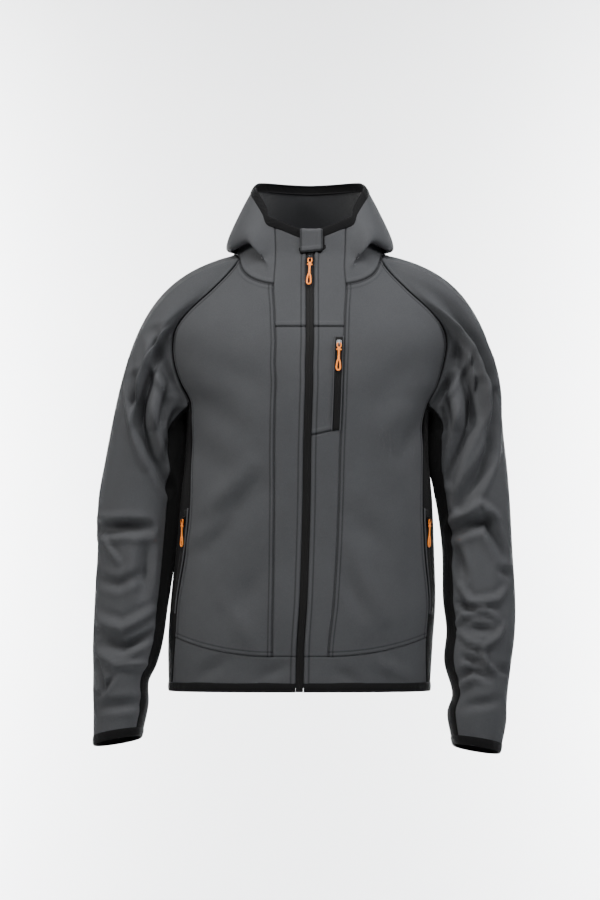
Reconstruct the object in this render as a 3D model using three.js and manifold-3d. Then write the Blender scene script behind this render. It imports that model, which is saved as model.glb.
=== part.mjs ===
// A hooded softshell jacket, zipped up and standing hollow in the pose it is worn in, with its hood down.
// Millimetres, +Z up. The front faces -Y and +X is the wearer's left. The origin is the middle of
// the neck base, level with the shoulders, where the wearer holds the jacket up.
import * as THREE from "three";
import Module from "manifold-3d";
import { mergeVertices } from "three/addons/utils/BufferGeometryUtils.js";

const wasm = await Module();
wasm.setup();

// Driving sizes
const CLOTH = 2; // wall of the bonded softshell cloth
const GAP = 0.3; // between two pieces at a seam
const BINDING = 12; // height of the elastic binding at hem, cuffs and hood
const BINDING_WALL = 2.8;
const ZIP_WIDTH = 12;
const ROUNDNESS = 2.4; // exponent of the torso's superellipse: 2 is an ellipse, more is squarer
const UNDERARM_Z = -220;
const YOKE_SEAM_Z = -105; // the cross seam at the foot of the two neck panels
const NECK_SEAM_FRONT_Z = -39;
const NECK_SEAM_SIDE_Z = 2;
const COLLAR_TOP_ZIP_Z = 30;
const COLLAR_TOP_SEAM_Z = 50;

// The torso, a row for each height: the middle's sideways lean, the half width, the depth to the
// front and to the back, the half width of the strip beside the zip, and the angles from the
// middle front of the side panel's front seam and back seam.
const TORSO = [
  { z: -668, lean: -9, half: 202, front: 117, back: 112, strip: 41, side: 75, rear: 107 },
  { z: -586, lean: -7, half: 205, front: 122, back: 112, strip: 42, side: 68, rear: 112 },
  { z: -524, lean: -3, half: 205, front: 124, back: 108, strip: 45, side: 68, rear: 113 },
  { z: -446, lean: 0, half: 200, front: 124, back: 106, strip: 47, side: 64, rear: 115 },
  { z: -369, lean: 2, half: 195, front: 125, back: 110, strip: 48, side: 64, rear: 114 },
  { z: -291, lean: 3, half: 188, front: 128, back: 120, strip: 49, side: 70, rear: 111 },
  { z: -220, lean: 5, half: 190, front: 131, back: 128, strip: 50, side: 72, rear: 108 },
  { z: -190, lean: 6, half: 203, front: 131, back: 130, strip: 50, side: 74, rear: 106 },
  { z: -160, lean: 6, half: 213, front: 129, back: 130, strip: 51, side: 74, rear: 106 },
  { z: -130, lean: 7, half: 218, front: 125, back: 128, strip: 51, side: 73, rear: 107 },
  { z: -105, lean: 7, half: 216, front: 119, back: 125, strip: 52, side: 70, rear: 110 },
  { z: -78, lean: 7, half: 202, front: 110, back: 118, strip: 53, side: 64, rear: 116 },
  { z: -45, lean: 7, half: 172, front: 98, back: 106, strip: 55, side: 57, rear: 123 },
  { z: -12, lean: 7, half: 138, front: 88, back: 92, strip: 53, side: 55, rear: 126 },
  { z: 10, lean: 8, half: 120, front: 83, back: 84, strip: 53, side: 57, rear: 127 },
  { z: 45, lean: 8, half: 100, front: 82, back: 80, strip: 54, side: 58, rear: 127 },
];

// Each sleeve below the underarm, a row for each height: how far the inner and outer edges lie
// from the middle of the jacket, and where its front and back are.
const SLEEVE_RIGHT = [
  { z: -262, inner: 192, outer: 301, front: -68, back: 66 },
  { z: -310, inner: 194, outer: 310, front: -68, back: 62 },
  { z: -369, inner: 197, outer: 320, front: -66, back: 58 },
  { z: -446, inner: 204, outer: 321, front: -66, back: 52 },
  { z: -524, inner: 211, outer: 325, front: -72, back: 42 },
  { z: -586, inner: 218, outer: 327, front: -80, back: 30 },
  { z: -626, inner: 228, outer: 326, front: -84, back: 20 },
  { z: -652, inner: 240, outer: 326, front: -85, back: 10 },
  { z: -687, inner: 240, outer: 325, front: -86, back: 4 },
  { z: -726, inner: 248, outer: 325, front: -85, back: -3 },
];
const SLEEVE_LEFT = [
  { z: -262, inner: 197, outer: 305, front: -68, back: 66 },
  { z: -310, inner: 196, outer: 312, front: -68, back: 62 },
  { z: -369, inner: 203, outer: 317, front: -66, back: 58 },
  { z: -446, inner: 212, outer: 321, front: -66, back: 52 },
  { z: -524, inner: 213, outer: 325, front: -72, back: 42 },
  { z: -573, inner: 218, outer: 323, front: -79, back: 32 },
  { z: -622, inner: 214, outer: 316, front: -84, back: 20 },
  { z: -671, inner: 226, outer: 310, front: -86, back: 6 },
  { z: -701, inner: 218, outer: 309, front: -87, back: 2 },
  { z: -738, inner: 224, outer: 302, front: -85, back: -6 },
];

// The largest folds of each sleeve. Each runs from one point to another, given by height and by
// the angle round the arm: 0 faces the body, 90 the front and 180 away. A trough has a minus depth.
const FOLDS_RIGHT = [
  { z0: -150, a0: 126, z1: -250, a1: 92, width: 14, depth: -8 },
  { z0: -250, a0: 92, z1: -372, a1: 40, width: 14, depth: -8 },
  { z0: -108, a0: 102, z1: -232, a1: 52, width: 12, depth: -7 },
  { z0: -300, a0: 150, z1: -385, a1: 80, width: 18, depth: 4 },
  { z0: -408, a0: 150, z1: -414, a1: 66, width: 12, depth: -8 },
  { z0: -440, a0: 75, z1: -510, a1: 60, width: 14, depth: -5 },
  { z0: -528, a0: 100, z1: -512, a1: 40, width: 13, depth: -5 },
  { z0: -560, a0: 180, z1: -562, a1: 60, width: 12, depth: 4 },
  { z0: -606, a0: 155, z1: -604, a1: 60, width: 13, depth: -7 },
  { z0: -630, a0: 170, z1: -640, a1: 40, width: 11, depth: 5 },
  { z0: -660, a0: 120, z1: -652, a1: 20, width: 12, depth: -5 },
  { z0: -690, a0: 160, z1: -684, a1: 60, width: 12, depth: -4 },
  { z0: -420, a0: 220, z1: -450, a1: 300, width: 18, depth: -5 },
  { z0: -560, a0: 200, z1: -590, a1: 310, width: 15, depth: -5 },
  { z0: -640, a0: 200, z1: -650, a1: 320, width: 13, depth: -5 },
];
const FOLDS_LEFT = [
  { z0: -125, a0: 182, z1: -240, a1: 178, width: 40, depth: 7 },
  { z0: -118, a0: 96, z1: -206, a1: 50, width: 12, depth: -8 },
  { z0: -188, a0: 112, z1: -260, a1: 84, width: 12, depth: -6 },
  { z0: -260, a0: 84, z1: -338, a1: 44, width: 13, depth: -8 },
  { z0: -205, a0: 142, z1: -300, a1: 114, width: 13, depth: -7 },
  { z0: -300, a0: 114, z1: -385, a1: 60, width: 14, depth: -8 },
  { z0: -418, a0: 92, z1: -475, a1: 160, width: 14, depth: -8 },
  { z0: -440, a0: 60, z1: -500, a1: 70, width: 14, depth: -5 },
  { z0: -515, a0: 60, z1: -520, a1: 140, width: 11, depth: 4 },
  { z0: -548, a0: 60, z1: -552, a1: 130, width: 12, depth: -6 },
  { z0: -590, a0: 50, z1: -590, a1: 150, width: 12, depth: 4 },
  { z0: -610, a0: 100, z1: -640, a1: 165, width: 12, depth: 5 },
  { z0: -652, a0: 70, z1: -648, a1: 130, width: 13, depth: -6 },
  { z0: -690, a0: 60, z1: -684, a1: 150, width: 12, depth: 4 },
  { z0: -430, a0: 220, z1: -455, a1: 300, width: 18, depth: -5 },
  { z0: -560, a0: 210, z1: -595, a1: 310, width: 15, depth: -5 },
  { z0: -650, a0: 200, z1: -655, a1: 320, width: 13, depth: -5 },
];

// The hood, hanging down round the neck, a row for each station from the front seam (along 0) to
// the middle back (along 1). Each pair of columns is a distance from the neck axis and a height: of
// the face opening's edge, the top of the tuck inside the fold, its lowest lip and the belly above.
const HOOD = [
  { along: 0.0, edge: 95, edgeZ: 50, tuck: 113, tuckZ: -20, lip: 116, lipZ: -24, belly: 114, bellyZ: -8 },
  { along: 0.05, edge: 97, edgeZ: 56, tuck: 106, tuckZ: 0, lip: 120, lipZ: -14, belly: 119, bellyZ: 2 },
  { along: 0.1, edge: 98, edgeZ: 64, tuck: 104, tuckZ: 18, lip: 119, lipZ: 8, belly: 122, bellyZ: 22 },
  { along: 0.15, edge: 97, edgeZ: 73, tuck: 104, tuckZ: 30, lip: 118, lipZ: 22, belly: 124, bellyZ: 35 },
  { along: 0.2, edge: 96, edgeZ: 82, tuck: 105, tuckZ: 32, lip: 120, lipZ: 24, belly: 126, bellyZ: 39 },
  { along: 0.3, edge: 96, edgeZ: 96, tuck: 108, tuckZ: 26, lip: 125, lipZ: 17, belly: 129, bellyZ: 34 },
  { along: 0.4, edge: 93, edgeZ: 105, tuck: 110, tuckZ: 22, lip: 125, lipZ: 14, belly: 129, bellyZ: 32 },
  { along: 0.5, edge: 91, edgeZ: 110, tuck: 109, tuckZ: 22, lip: 122, lipZ: 15, belly: 127, bellyZ: 33 },
  { along: 0.6, edge: 92, edgeZ: 114, tuck: 107, tuckZ: 22, lip: 120, lipZ: 14, belly: 126, bellyZ: 32 },
  { along: 0.65, edge: 95, edgeZ: 116, tuck: 107, tuckZ: 21, lip: 127, lipZ: 8, belly: 132, bellyZ: 28 },
  { along: 0.7, edge: 98, edgeZ: 117, tuck: 106, tuckZ: 20, lip: 138, lipZ: -8, belly: 142, bellyZ: 14 },
  { along: 0.8, edge: 102, edgeZ: 118, tuck: 104, tuckZ: 16, lip: 157, lipZ: -110, belly: 166, bellyZ: -76 },
  { along: 1.0, edge: 104, edgeZ: 116, tuck: 90, tuckZ: 10, lip: 148, lipZ: -158, belly: 162, bellyZ: -118 },
];
const NECK_AXIS_Y = 5;
const HOOD_BLEND = 0.1; // the share of the neck seam over which the hood leaves the front strip

// How finely each stretch is divided
const STRIP_COLUMNS = 2;
const FRONT_COLUMNS = 6;
const SIDE_COLUMNS = 3;
const SHOULDER_COLUMNS = 4;
const BACK_COLUMNS = 6;
const HEM_STEPS = [0, 0.5, 1];
const LOWER_STEPS = [0, 0.12, 0.24, 0.36, 0.48, 0.6, 0.7, 0.8, 0.882, 1];
const UPPER_STEPS = [0, 0.11, 0.22, 0.33, 0.44, 0.54, 0.6425, 0.76, 0.88, 1];
const YOKE_ROW = 6; // the upper row that lies on the cross seam
const CAP_STEPS = [0, 0.1, 0.24, 0.4, 0.56, 0.72, 0.86, 1];
const ARM_ROWS = 24;
const HOOD_STEPS = [0, 1, 2, 3, 3.5, 4, 4.5, 5, 5.5, 6, 6.5, 7, 7.5, 8, 8.5, 9].map((step) => step / 9);
const HOOD_SIDE_SHARE = 0.62; // where along the neck the hood's side piece meets its middle piece

const COLOURS = { cloth: 0x54565b, stretch: 0x17171a, tape: 0x222224, pull: 0xff8420, metal: 0x2b2b2e };

const radians = THREE.MathUtils.degToRad;
const mix = THREE.MathUtils.lerp;
const clamp = THREE.MathUtils.clamp;
const smooth = (x, low, high) => THREE.MathUtils.smoothstep(x, low, high);
const point = (x, y, z) => new THREE.Vector3(x, y, z);
const range = (n) => Array.from({ length: n }, (_, i) => i);

// A smooth curve through the rows' values of one column: cubic Hermite pieces whose slopes come
// from the neighbouring rows.
function column(rows, key, by = "z") {
  const x = rows.map((r) => r[by]);
  const y = rows.map((r) => r[key]);
  if (x[0] > x[x.length - 1]) {
    x.reverse();
    y.reverse();
  }
  const last = x.length - 1;
  const slope = range(x.length).map((i) => {
    const a = Math.max(0, i - 1);
    const b = Math.min(last, i + 1);
    return (y[b] - y[a]) / (x[b] - x[a]);
  });
  return (at) => {
    const t = clamp(at, x[0], x[last]);
    let i = 0;
    while (i < last - 1 && t > x[i + 1]) i++;
    const h = x[i + 1] - x[i];
    const s = (t - x[i]) / h;
    const s2 = s * s;
    const s3 = s2 * s;
    return (
      (2 * s3 - 3 * s2 + 1) * y[i] +
      (s3 - 2 * s2 + s) * h * slope[i] +
      (3 * s2 - 2 * s3) * y[i + 1] +
      (s3 - s2) * h * slope[i + 1]
    );
  };
}

const torso = Object.fromEntries(
  ["lean", "half", "front", "back", "strip", "side", "rear"].map((key) => [key, column(TORSO, key)]),
);

// A point of the torso's outer face. The angle is in degrees from the middle front, with plus
// towards the wearer's left.
function torsoPoint(angle, z) {
  const turn = radians(angle);
  const across = Math.sin(turn);
  const along = Math.cos(turn);
  const power = 2 / ROUNDNESS;
  const depth = along > 0 ? -torso.front(z) : torso.back(z);
  return point(
    torso.lean(z) + torso.half(z) * Math.sign(across) * Math.abs(across) ** power,
    depth * Math.abs(along) ** power,
    z,
  );
}
// The angle at which the torso's face is this far sideways of its middle
const angleAcross = (across, z) =>
  THREE.MathUtils.radToDeg(Math.asin(clamp(across / torso.half(z), 0, 1) ** (ROUNDNESS / 2)));

const hemZ = (angle) => -657 - 6 * (1 - Math.cos(radians(angle)));
const hemSeamZ = (angle) => hemZ(angle) + BINDING;
// The curved seam of the hem piece: low in the middle front, higher at the side
const curvedSeamZ = (angle) => mix(-603, -574, smooth(Math.abs(angle), 8, 85));

// The outward normals of a grid of points, from the steps to its neighbours
function gridNormals(grid, closed = false) {
  const rows = grid.length;
  const columns = grid[0].length;
  const wrap = (j) => (closed ? (j + columns) % columns : clamp(j, 0, columns - 1));
  return range(rows).map((i) =>
    range(columns).map((j) => {
      const across = grid[i][wrap(j + 1)].clone().sub(grid[i][wrap(j - 1)]);
      const up = grid[Math.min(rows - 1, i + 1)][j].clone().sub(grid[Math.max(0, i - 1)][j]);
      return across.cross(up).normalize();
    }),
  );
}

// Moves the outer rows and columns of a grid in by half the seam gap
function insetGrid(grid, sides, gap = GAP) {
  const moved = grid.map((row) => row.map((p) => p.clone()));
  const rows = grid.length;
  const columns = grid[0].length;
  const step = (a, b) => b.clone().sub(a).normalize().multiplyScalar(gap / 2);
  for (const i of range(rows)) {
    if (sides.includes("first")) moved[i][0].add(step(grid[i][0], grid[i][1]));
    if (sides.includes("last")) moved[i][columns - 1].add(step(grid[i][columns - 1], grid[i][columns - 2]));
  }
  for (const j of range(columns)) {
    if (sides.includes("low")) moved[0][j].add(step(grid[0][j], grid[1][j]));
    if (sides.includes("high")) moved[rows - 1][j].add(step(grid[rows - 1][j], grid[rows - 2][j]));
  }
  return moved;
}

// A closed wall on a grid of outer points: the same grid moved in along its normals, and rims
// between them. A ring is closed across its columns.
function wallGeometry(outer, normals, thickness, ring = false) {
  const rows = outer.length;
  const columns = outer[0].length;
  const inner = outer.map((row, i) => row.map((p, j) => p.clone().addScaledVector(normals[i][j], -thickness)));
  const positions = [...outer.flat(), ...inner.flat()].flatMap((p) => [p.x, p.y, p.z]);
  const at = (side, i, j) => side * rows * columns + i * columns + (j % columns);
  const index = [];
  const quad = (a, b, c, d) => index.push(a, b, c, a, c, d);
  const spans = ring ? columns : columns - 1;
  for (let i = 0; i < rows - 1; i++)
    for (let j = 0; j < spans; j++) {
      quad(at(0, i, j), at(0, i, j + 1), at(0, i + 1, j + 1), at(0, i + 1, j));
      quad(at(1, i, j), at(1, i + 1, j), at(1, i + 1, j + 1), at(1, i, j + 1));
    }
  for (let j = 0; j < spans; j++) {
    quad(at(0, 0, j), at(1, 0, j), at(1, 0, j + 1), at(0, 0, j + 1));
    quad(at(0, rows - 1, j), at(0, rows - 1, j + 1), at(1, rows - 1, j + 1), at(1, rows - 1, j));
  }
  if (!ring)
    for (let i = 0; i < rows - 1; i++) {
      quad(at(0, i, 0), at(0, i + 1, 0), at(1, i + 1, 0), at(1, i, 0));
      quad(at(0, i, columns - 1), at(1, i, columns - 1), at(1, i + 1, columns - 1), at(0, i + 1, columns - 1));
    }
  return new THREE.BufferGeometry()
    .setAttribute("position", new THREE.Float32BufferAttribute(positions, 3))
    .setIndex(index);
}

const garment = new THREE.Group();
function addPiece(name, geometry, colour, { roughness = 0.8, metalness = 0 } = {}) {
  const mesh = new THREE.Mesh(geometry, new THREE.MeshStandardMaterial({ color: colour, roughness, metalness }));
  mesh.name = name;
  garment.add(mesh);
  return mesh;
}

const slice = (grid, low, high, first, last) =>
  grid.slice(low, high + 1).map((row) => row.slice(first, last + 1));

// Panels wait here until all are laid out, since a point that two panels share at a seam gets one
// normal, the mean of theirs, and so their walls turn in together.
const panels = [];
function addPanel(name, grid, hand, colour, gap = GAP) {
  const ordered = hand > 0 ? grid : grid.map((row) => [...row].reverse());
  panels.push({ name, grid: ordered, normals: gridNormals(ordered), colour, gap });
}

function buildPanels() {
  const key = (p) => [p.x, p.y, p.z].map((v) => Math.round(v * 50)).join();
  const shared = new Map();
  for (const { grid, normals } of panels)
    for (const [i, row] of grid.entries())
      for (const [j, p] of row.entries()) {
        if (!shared.has(key(p))) shared.set(key(p), point(0, 0, 0));
        shared.get(key(p)).add(normals[i][j]);
      }
  for (const { name, grid, colour, gap } of panels) {
    const normals = grid.map((row) => row.map((p) => shared.get(key(p)).clone().normalize()));
    const outer = insetGrid(grid, ["first", "last", "low", "high"], gap);
    addPiece(name, wallGeometry(outer, normals, CLOTH), colour);
  }
}

// The torso as two grids that share their rows: the front half from the zip round to the middle
// back for each side of the body (hand is -1 for the wearer's right and 1 for the left).
const zipAngle = (z) => angleAcross(ZIP_WIDTH / 2, z);
const stripAngle = (z) => angleAcross(torso.strip(z), z);

// The height of the neck seam, by the share of the way from the front strip to the raglan seam
const neckSeamZ = (share) => mix(NECK_SEAM_FRONT_Z, NECK_SEAM_SIDE_Z, share ** 1.4);
const collarTopZ = (share) => mix(COLLAR_TOP_ZIP_Z, COLLAR_TOP_SEAM_Z, share);
const backNeckZ = (share) => mix(8, 0, share);

function lowerRow(hand, step, fromSeam) {
  const row = [];
  const place = (angleAt, share) => {
    // the seam heights depend on the angle and the angle on the height, so two rounds settle both
    let angle = angleAt(-400);
    let z = 0;
    for (let round = 0; round < 4; round++) {
      const low = fromSeam ? curvedSeamZ(angle) : hemSeamZ(angle);
      const high = fromSeam ? UNDERARM_Z : curvedSeamZ(angle);
      z = mix(low, high, step);
      angle = angleAt(z);
    }
    row.push(torsoPoint(hand * angle, z));
    return share;
  };
  const stretch = (from, to, count, skip) => {
    for (let j = skip; j <= count; j++) place((z) => mix(from(z), to(z), j / count), j / count);
  };
  stretch(zipAngle, stripAngle, STRIP_COLUMNS, 0);
  stretch(stripAngle, torso.side, FRONT_COLUMNS, 1);
  stretch(torso.side, torso.rear, SIDE_COLUMNS, 1);
  stretch(torso.rear, () => 180, BACK_COLUMNS, 1);
  return row;
}

const STRIP_END = STRIP_COLUMNS;
const FRONT_END = STRIP_END + FRONT_COLUMNS;
const SIDE_END = FRONT_END + SIDE_COLUMNS;
const BACK_END = SIDE_END + BACK_COLUMNS;

function upperFrontRow(hand, step) {
  const row = [];
  for (let j = 0; j <= STRIP_COLUMNS; j++) {
    const z = mix(UNDERARM_Z, NECK_SEAM_FRONT_Z, step);
    row.push(torsoPoint(hand * mix(zipAngle(z), stripAngle(z), j / STRIP_COLUMNS), z));
  }
  for (let j = 1; j <= FRONT_COLUMNS; j++) {
    const share = j / FRONT_COLUMNS;
    const z = mix(UNDERARM_Z, neckSeamZ(share), step);
    row.push(torsoPoint(hand * mix(stripAngle(z), torso.side(z), share), z));
  }
  return row;
}

function upperBackRow(hand, step) {
  return range(BACK_COLUMNS + 1).map((j) => {
    const share = j / BACK_COLUMNS;
    const z = mix(UNDERARM_Z, backNeckZ(share), step);
    return torsoPoint(hand * mix(torso.rear(z), 180, share), z);
  });
}

// The neckline across the top of a sleeve, an arch from the front raglan seam to the back one
function shoulderNeckline(front, back, hand) {
  const middle = point(torso.lean(0) + hand * 113, 2, 12);
  const curve = new THREE.CatmullRomCurve3([front, middle, back], false, "centripetal");
  return range(SHOULDER_COLUMNS + 1).map((j) => curve.getPoint(j / SHOULDER_COLUMNS));
}

// How far the folds push a sleeve's face out or in at a height and an angle
function foldDepth(folds, z, angle, radius) {
  let depth = 0;
  for (const f of folds) {
    const alongArc = radians(f.a1 - f.a0) * radius;
    const alongZ = f.z1 - f.z0;
    const length2 = alongArc ** 2 + alongZ ** 2;
    const arc = radians(THREE.MathUtils.euclideanModulo(angle - f.a0 + 180, 360) - 180) * radius;
    const share = clamp((arc * alongArc + (z - f.z0) * alongZ) / length2, 0, 1);
    const away = Math.hypot(arc - share * alongArc, z - f.z0 - share * alongZ) / f.width;
    depth += f.depth * Math.exp(-away * away) * (0.55 + 0.45 * Math.sin(Math.PI * share));
  }
  return depth;
}

// One ring of the sleeve below the cap. The ring tips as the forearm comes forward, and its
// corners are rounded as a superellipse is.
function armPoint(table, hand, z, angle, folds) {
  const inner = table.inner(z);
  const outer = table.outer(z);
  const front = table.front(z);
  const back = table.back(z);
  const turn = radians(angle);
  const power = 2 / 2.2;
  const c = Math.sign(Math.cos(turn)) * Math.abs(Math.cos(turn)) ** power;
  const s = Math.sign(Math.sin(turn)) * Math.abs(Math.sin(turn)) ** power;
  const radius = (outer - inner) / 2;
  const push = foldDepth(folds, z, angle, radius) * smooth(z, table.cuffZ, table.cuffZ + 30);
  const out = (inner + outer) / 2 - (radius + push) * c;
  const y = (front + back) / 2 - ((back - front) / 2 + push) * s;
  const tip = smooth(-z, 420, 720);
  return point(hand * out, y, z - 0.16 * tip * (out - (inner + outer) / 2) - 0.2 * tip * (y - (front + back) / 2));
}

// The angle round the arm of each column of the sleeve, beginning at the side panel's front seam.
// The under-sleeve's columns close the ring.
const UNDER_HALF_ANGLE = 42;
const ARMHOLE_STEPS = UPPER_STEPS.length - 1;
const CAP_COLUMNS = 2 * ARMHOLE_STEPS + SHOULDER_COLUMNS;
function sleeveAngles() {
  const angles = range(CAP_COLUMNS + 1).map((j) =>
    mix(UNDER_HALF_ANGLE, 360 - UNDER_HALF_ANGLE, j / CAP_COLUMNS),
  );
  for (let j = 1; j < SIDE_COLUMNS; j++)
    angles.push(mix(360 - UNDER_HALF_ANGLE, 360 + UNDER_HALF_ANGLE, j / SIDE_COLUMNS));
  return angles;
}

// The way the cloth leaves the armhole at one of its points, as a step: near the underarm sideways,
// over the shoulder out and a little down, and along the raglan seams a mixture of the way to the
// arm and the shoulder's way, swelling to the front or the back
const SHOULDER_STEP = { right: point(-385, 0, -90), left: point(420, 0, -80) };
const seamHeight = (j) => clamp(Math.min(j, CAP_COLUMNS - j) / ARMHOLE_STEPS, 0, 1);
function leaving(armhole, normals, j, end, word) {
  const chord = end.clone().sub(armhole[j]);
  const reach = chord.length();
  const shoulder = SHOULDER_STEP[word].clone();
  if (j > CAP_COLUMNS) return point(Math.sign(shoulder.x) * reach, 0, reach * 0.1);
  const height = seamHeight(j);
  const swell = point(0, normals[j] ? Math.sign(normals[j].y) * 0.22 * Math.sin(Math.PI * height) : 0, 0);
  const out = shoulder.multiplyScalar(height * (reach / 334));
  return chord.multiplyScalar(0.8 * (1 - height)).add(out).addScaledVector(swell, reach);
}

// The sleeve's whole grid, from the armhole down to the cuff
function sleeveGrid(hand, armhole, armholeNormals, rows, folds) {
  const table = Object.fromEntries(["inner", "outer", "front", "back"].map((k) => [k, column(rows, k)]));
  const word = hand > 0 ? "left" : "right";
  const topZ = rows[0].z;
  table.cuffZ = rows[rows.length - 1].z;
  const angles = sleeveAngles();
  const armRow = (z) => angles.map((a) => armPoint(table, hand, z, a, folds));
  const first = armRow(topZ);
  const second = armRow(topZ - 10);
  const grid = CAP_STEPS.slice(0, -1).map((t) =>
    armhole.map((start, j) => {
      const end = first[j];
      const reach = start.distanceTo(end);
      const leave = leaving(armhole, armholeNormals, j, end, word);
      const arrive = second[j].clone().sub(end).setLength(reach * mix(1, 1.5, seamHeight(j)));
      const t2 = t * t;
      const t3 = t2 * t;
      const p = start.clone().multiplyScalar(2 * t3 - 3 * t2 + 1);
      p.addScaledVector(leave, t3 - 2 * t2 + t);
      p.addScaledVector(end, 3 * t2 - 2 * t3);
      p.addScaledVector(arrive, t3 - t2);
      const held = foldDepth(folds, topZ, angles[j], 52) * (3 * t2 - 2 * t3); // in the first ring already
      const push = foldDepth(folds, p.z, angles[j], 52) * smooth(t, 0.04, 0.3) - held;
      const turn = radians(angles[j]);
      return p.add(point(-hand * push * Math.cos(turn), -push * Math.sin(turn), 0));
    }),
  );
  for (let i = 0; i <= ARM_ROWS; i++) grid.push(armRow(mix(topZ, table.cuffZ, i / ARM_ROWS)));
  return grid;
}

// The profile of the hood at one station of the neck seam: up from the seam to the tuck, over and
// down to the lip, round the lip, and up the outside to the face opening's edge
const hood = Object.fromEntries(
  ["edge", "edgeZ", "tuck", "tuckZ", "lip", "lipZ", "belly", "bellyZ"].map((key) => [
    key,
    column(HOOD, key, "along"),
  ]),
);

function hoodProfile(seam, along, plain) {
  const axis = point(torso.lean(0), NECK_AXIS_Y, seam.z);
  const out = seam.clone().sub(axis).setZ(0).normalize();
  const reach = Math.hypot(seam.x - axis.x, seam.y - axis.y);
  const place = (r, z) => axis.clone().setZ(z).addScaledVector(out, r);
  const { tuck, tuckZ, lip, lipZ, belly, bellyZ, edge, edgeZ } = Object.fromEntries(
    Object.entries(hood).map(([key, f]) => [key, f(along)]),
  );
  const turn = tuck + Math.min(8, (lip - tuck) / 2);
  const points = [
    seam.clone(),
    place(mix(reach, tuck, 0.6), mix(seam.z, tuckZ, 0.5)),
    place(tuck, tuckZ),
    place(turn, Math.max(tuckZ, lipZ) + 3),
    place(mix(turn, lip, 0.5), mix(tuckZ, lipZ, 0.55)),
    place(lip, lipZ),
    place(mix(lip, belly, 0.6) + 3, lipZ + 4),
    place(belly, bellyZ),
    place(mix(belly, edge, 0.62), mix(bellyZ, edgeZ, 0.66)),
    place(edge, edgeZ),
  ];
  const curve = new THREE.CatmullRomCurve3(points, false, "centripetal");
  const folded = HOOD_STEPS.map((t) => curve.getPoint(t));
  const share = smooth(along, 0, HOOD_BLEND);
  return HOOD_STEPS.map((t, i) => plain(t).lerp(folded[i], share));
}

const torsoGrids = {};
function buildSide(hand, word, armRows, folds) {
  const hem = HEM_STEPS.map((t) => lowerRow(hand, t, false));
  const lower = LOWER_STEPS.map((t) => lowerRow(hand, t, true));
  const upperFront = UPPER_STEPS.map((t) => upperFrontRow(hand, t));
  const upperBack = UPPER_STEPS.map((t) => upperBackRow(hand, t));
  torsoGrids[word] = { hem, lower, upperFront, upperBack };

  // The armhole's loop: up the front raglan seam, over the neckline, down the back and across the side panel's top
  const frontSeam = upperFront.map((row) => row[FRONT_END]);
  const backSeam = upperBack.map((row) => row[0]);
  const neckline = shoulderNeckline(frontSeam[ARMHOLE_STEPS], backSeam[ARMHOLE_STEPS], hand);
  const sideTop = lower[LOWER_STEPS.length - 1].slice(FRONT_END, SIDE_END + 1);
  const armhole = [
    ...frontSeam,
    ...neckline.slice(1, -1),
    ...[...backSeam].reverse(),
    ...[...sideTop].reverse().slice(1, -1),
  ];
  const outward = (grid, column) => gridNormals(grid).map((row) => row[column].clone().multiplyScalar(hand));
  const frontNormals = outward(upperFront, FRONT_END);
  const backNormals = outward(upperBack, 0).reverse();
  const armholeNormals = [...frontNormals, ...neckline.slice(1, -1).map(() => null), ...backNormals];
  torsoGrids[word].neckline = neckline;
  return sleeveGrid(hand, armhole, armholeNormals, armRows, folds);
}

function addTorsoHalf(hand, word) {
  const { hem, lower, upperFront } = torsoGrids[word];
  const whole = [...hem, ...lower.slice(1)];
  const top = HEM_STEPS.length - 1;
  const underarm = whole.length - 1;
  addPanel(`hem_piece_${word}`, slice(whole, 0, top, 0, FRONT_END), hand, COLOURS.cloth);
  addPanel(`side_panel_${word}`, slice(whole, 0, underarm, FRONT_END, SIDE_END), hand, COLOURS.stretch);

  // The strip beside the zip and the front panel run on above the underarm
  const front = [...whole.slice(top).map((row) => row.slice(0, FRONT_END + 1)), ...upperFront.slice(1)];
  const pocket = LOWER_STEPS.length - 2;
  const yoke = LOWER_STEPS.length - 1 + YOKE_ROW;
  if (hand > 0) {
    addPanel(`front_strip_${word}`, slice(front, 0, pocket, 0, STRIP_END), hand, COLOURS.cloth);
    addPanel("chest_pocket_panel", slice(front, pocket, yoke, 0, STRIP_END), hand, COLOURS.cloth);
  } else addPanel(`front_strip_${word}`, slice(front, 0, yoke, 0, STRIP_END), hand, COLOURS.cloth);
  addPanel(`front_panel_${word}`, slice(front, 0, front.length - 1, STRIP_END, FRONT_END), hand, COLOURS.cloth);

  // The neck panel goes on up to the collar's edge, in the same steps as the hood's front seam
  const collar = HOOD_STEPS.slice(1).map((t) =>
    range(STRIP_COLUMNS + 1).map((j) => {
      const share = j / STRIP_COLUMNS;
      const z = mix(NECK_SEAM_FRONT_Z, collarTopZ(share), t);
      return torsoPoint(hand * mix(zipAngle(z), stripAngle(z), share), z);
    }),
  );
  const neck = [...upperFront.slice(YOKE_ROW).map((row) => row.slice(0, STRIP_END + 1)), ...collar];
  addPanel(`neck_panel_${word}`, neck, hand, COLOURS.cloth);
  torsoGrids[word].neckTop = neck[neck.length - 1];
  torsoGrids[word].neckRowBelow = neck[neck.length - 2];
}

function addBack() {
  const half = (word) => {
    const { hem, lower, upperBack } = torsoGrids[word];
    return [...[...hem, ...lower.slice(1)].map((row) => row.slice(SIDE_END)), ...upperBack.slice(1)];
  };
  const left = half("left");
  const right = half("right");
  const whole = left.map((row, i) => [...row, ...[...right[i]].reverse().slice(1)]);
  addPanel("back_panel", whole, 1, COLOURS.cloth);
}

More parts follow.
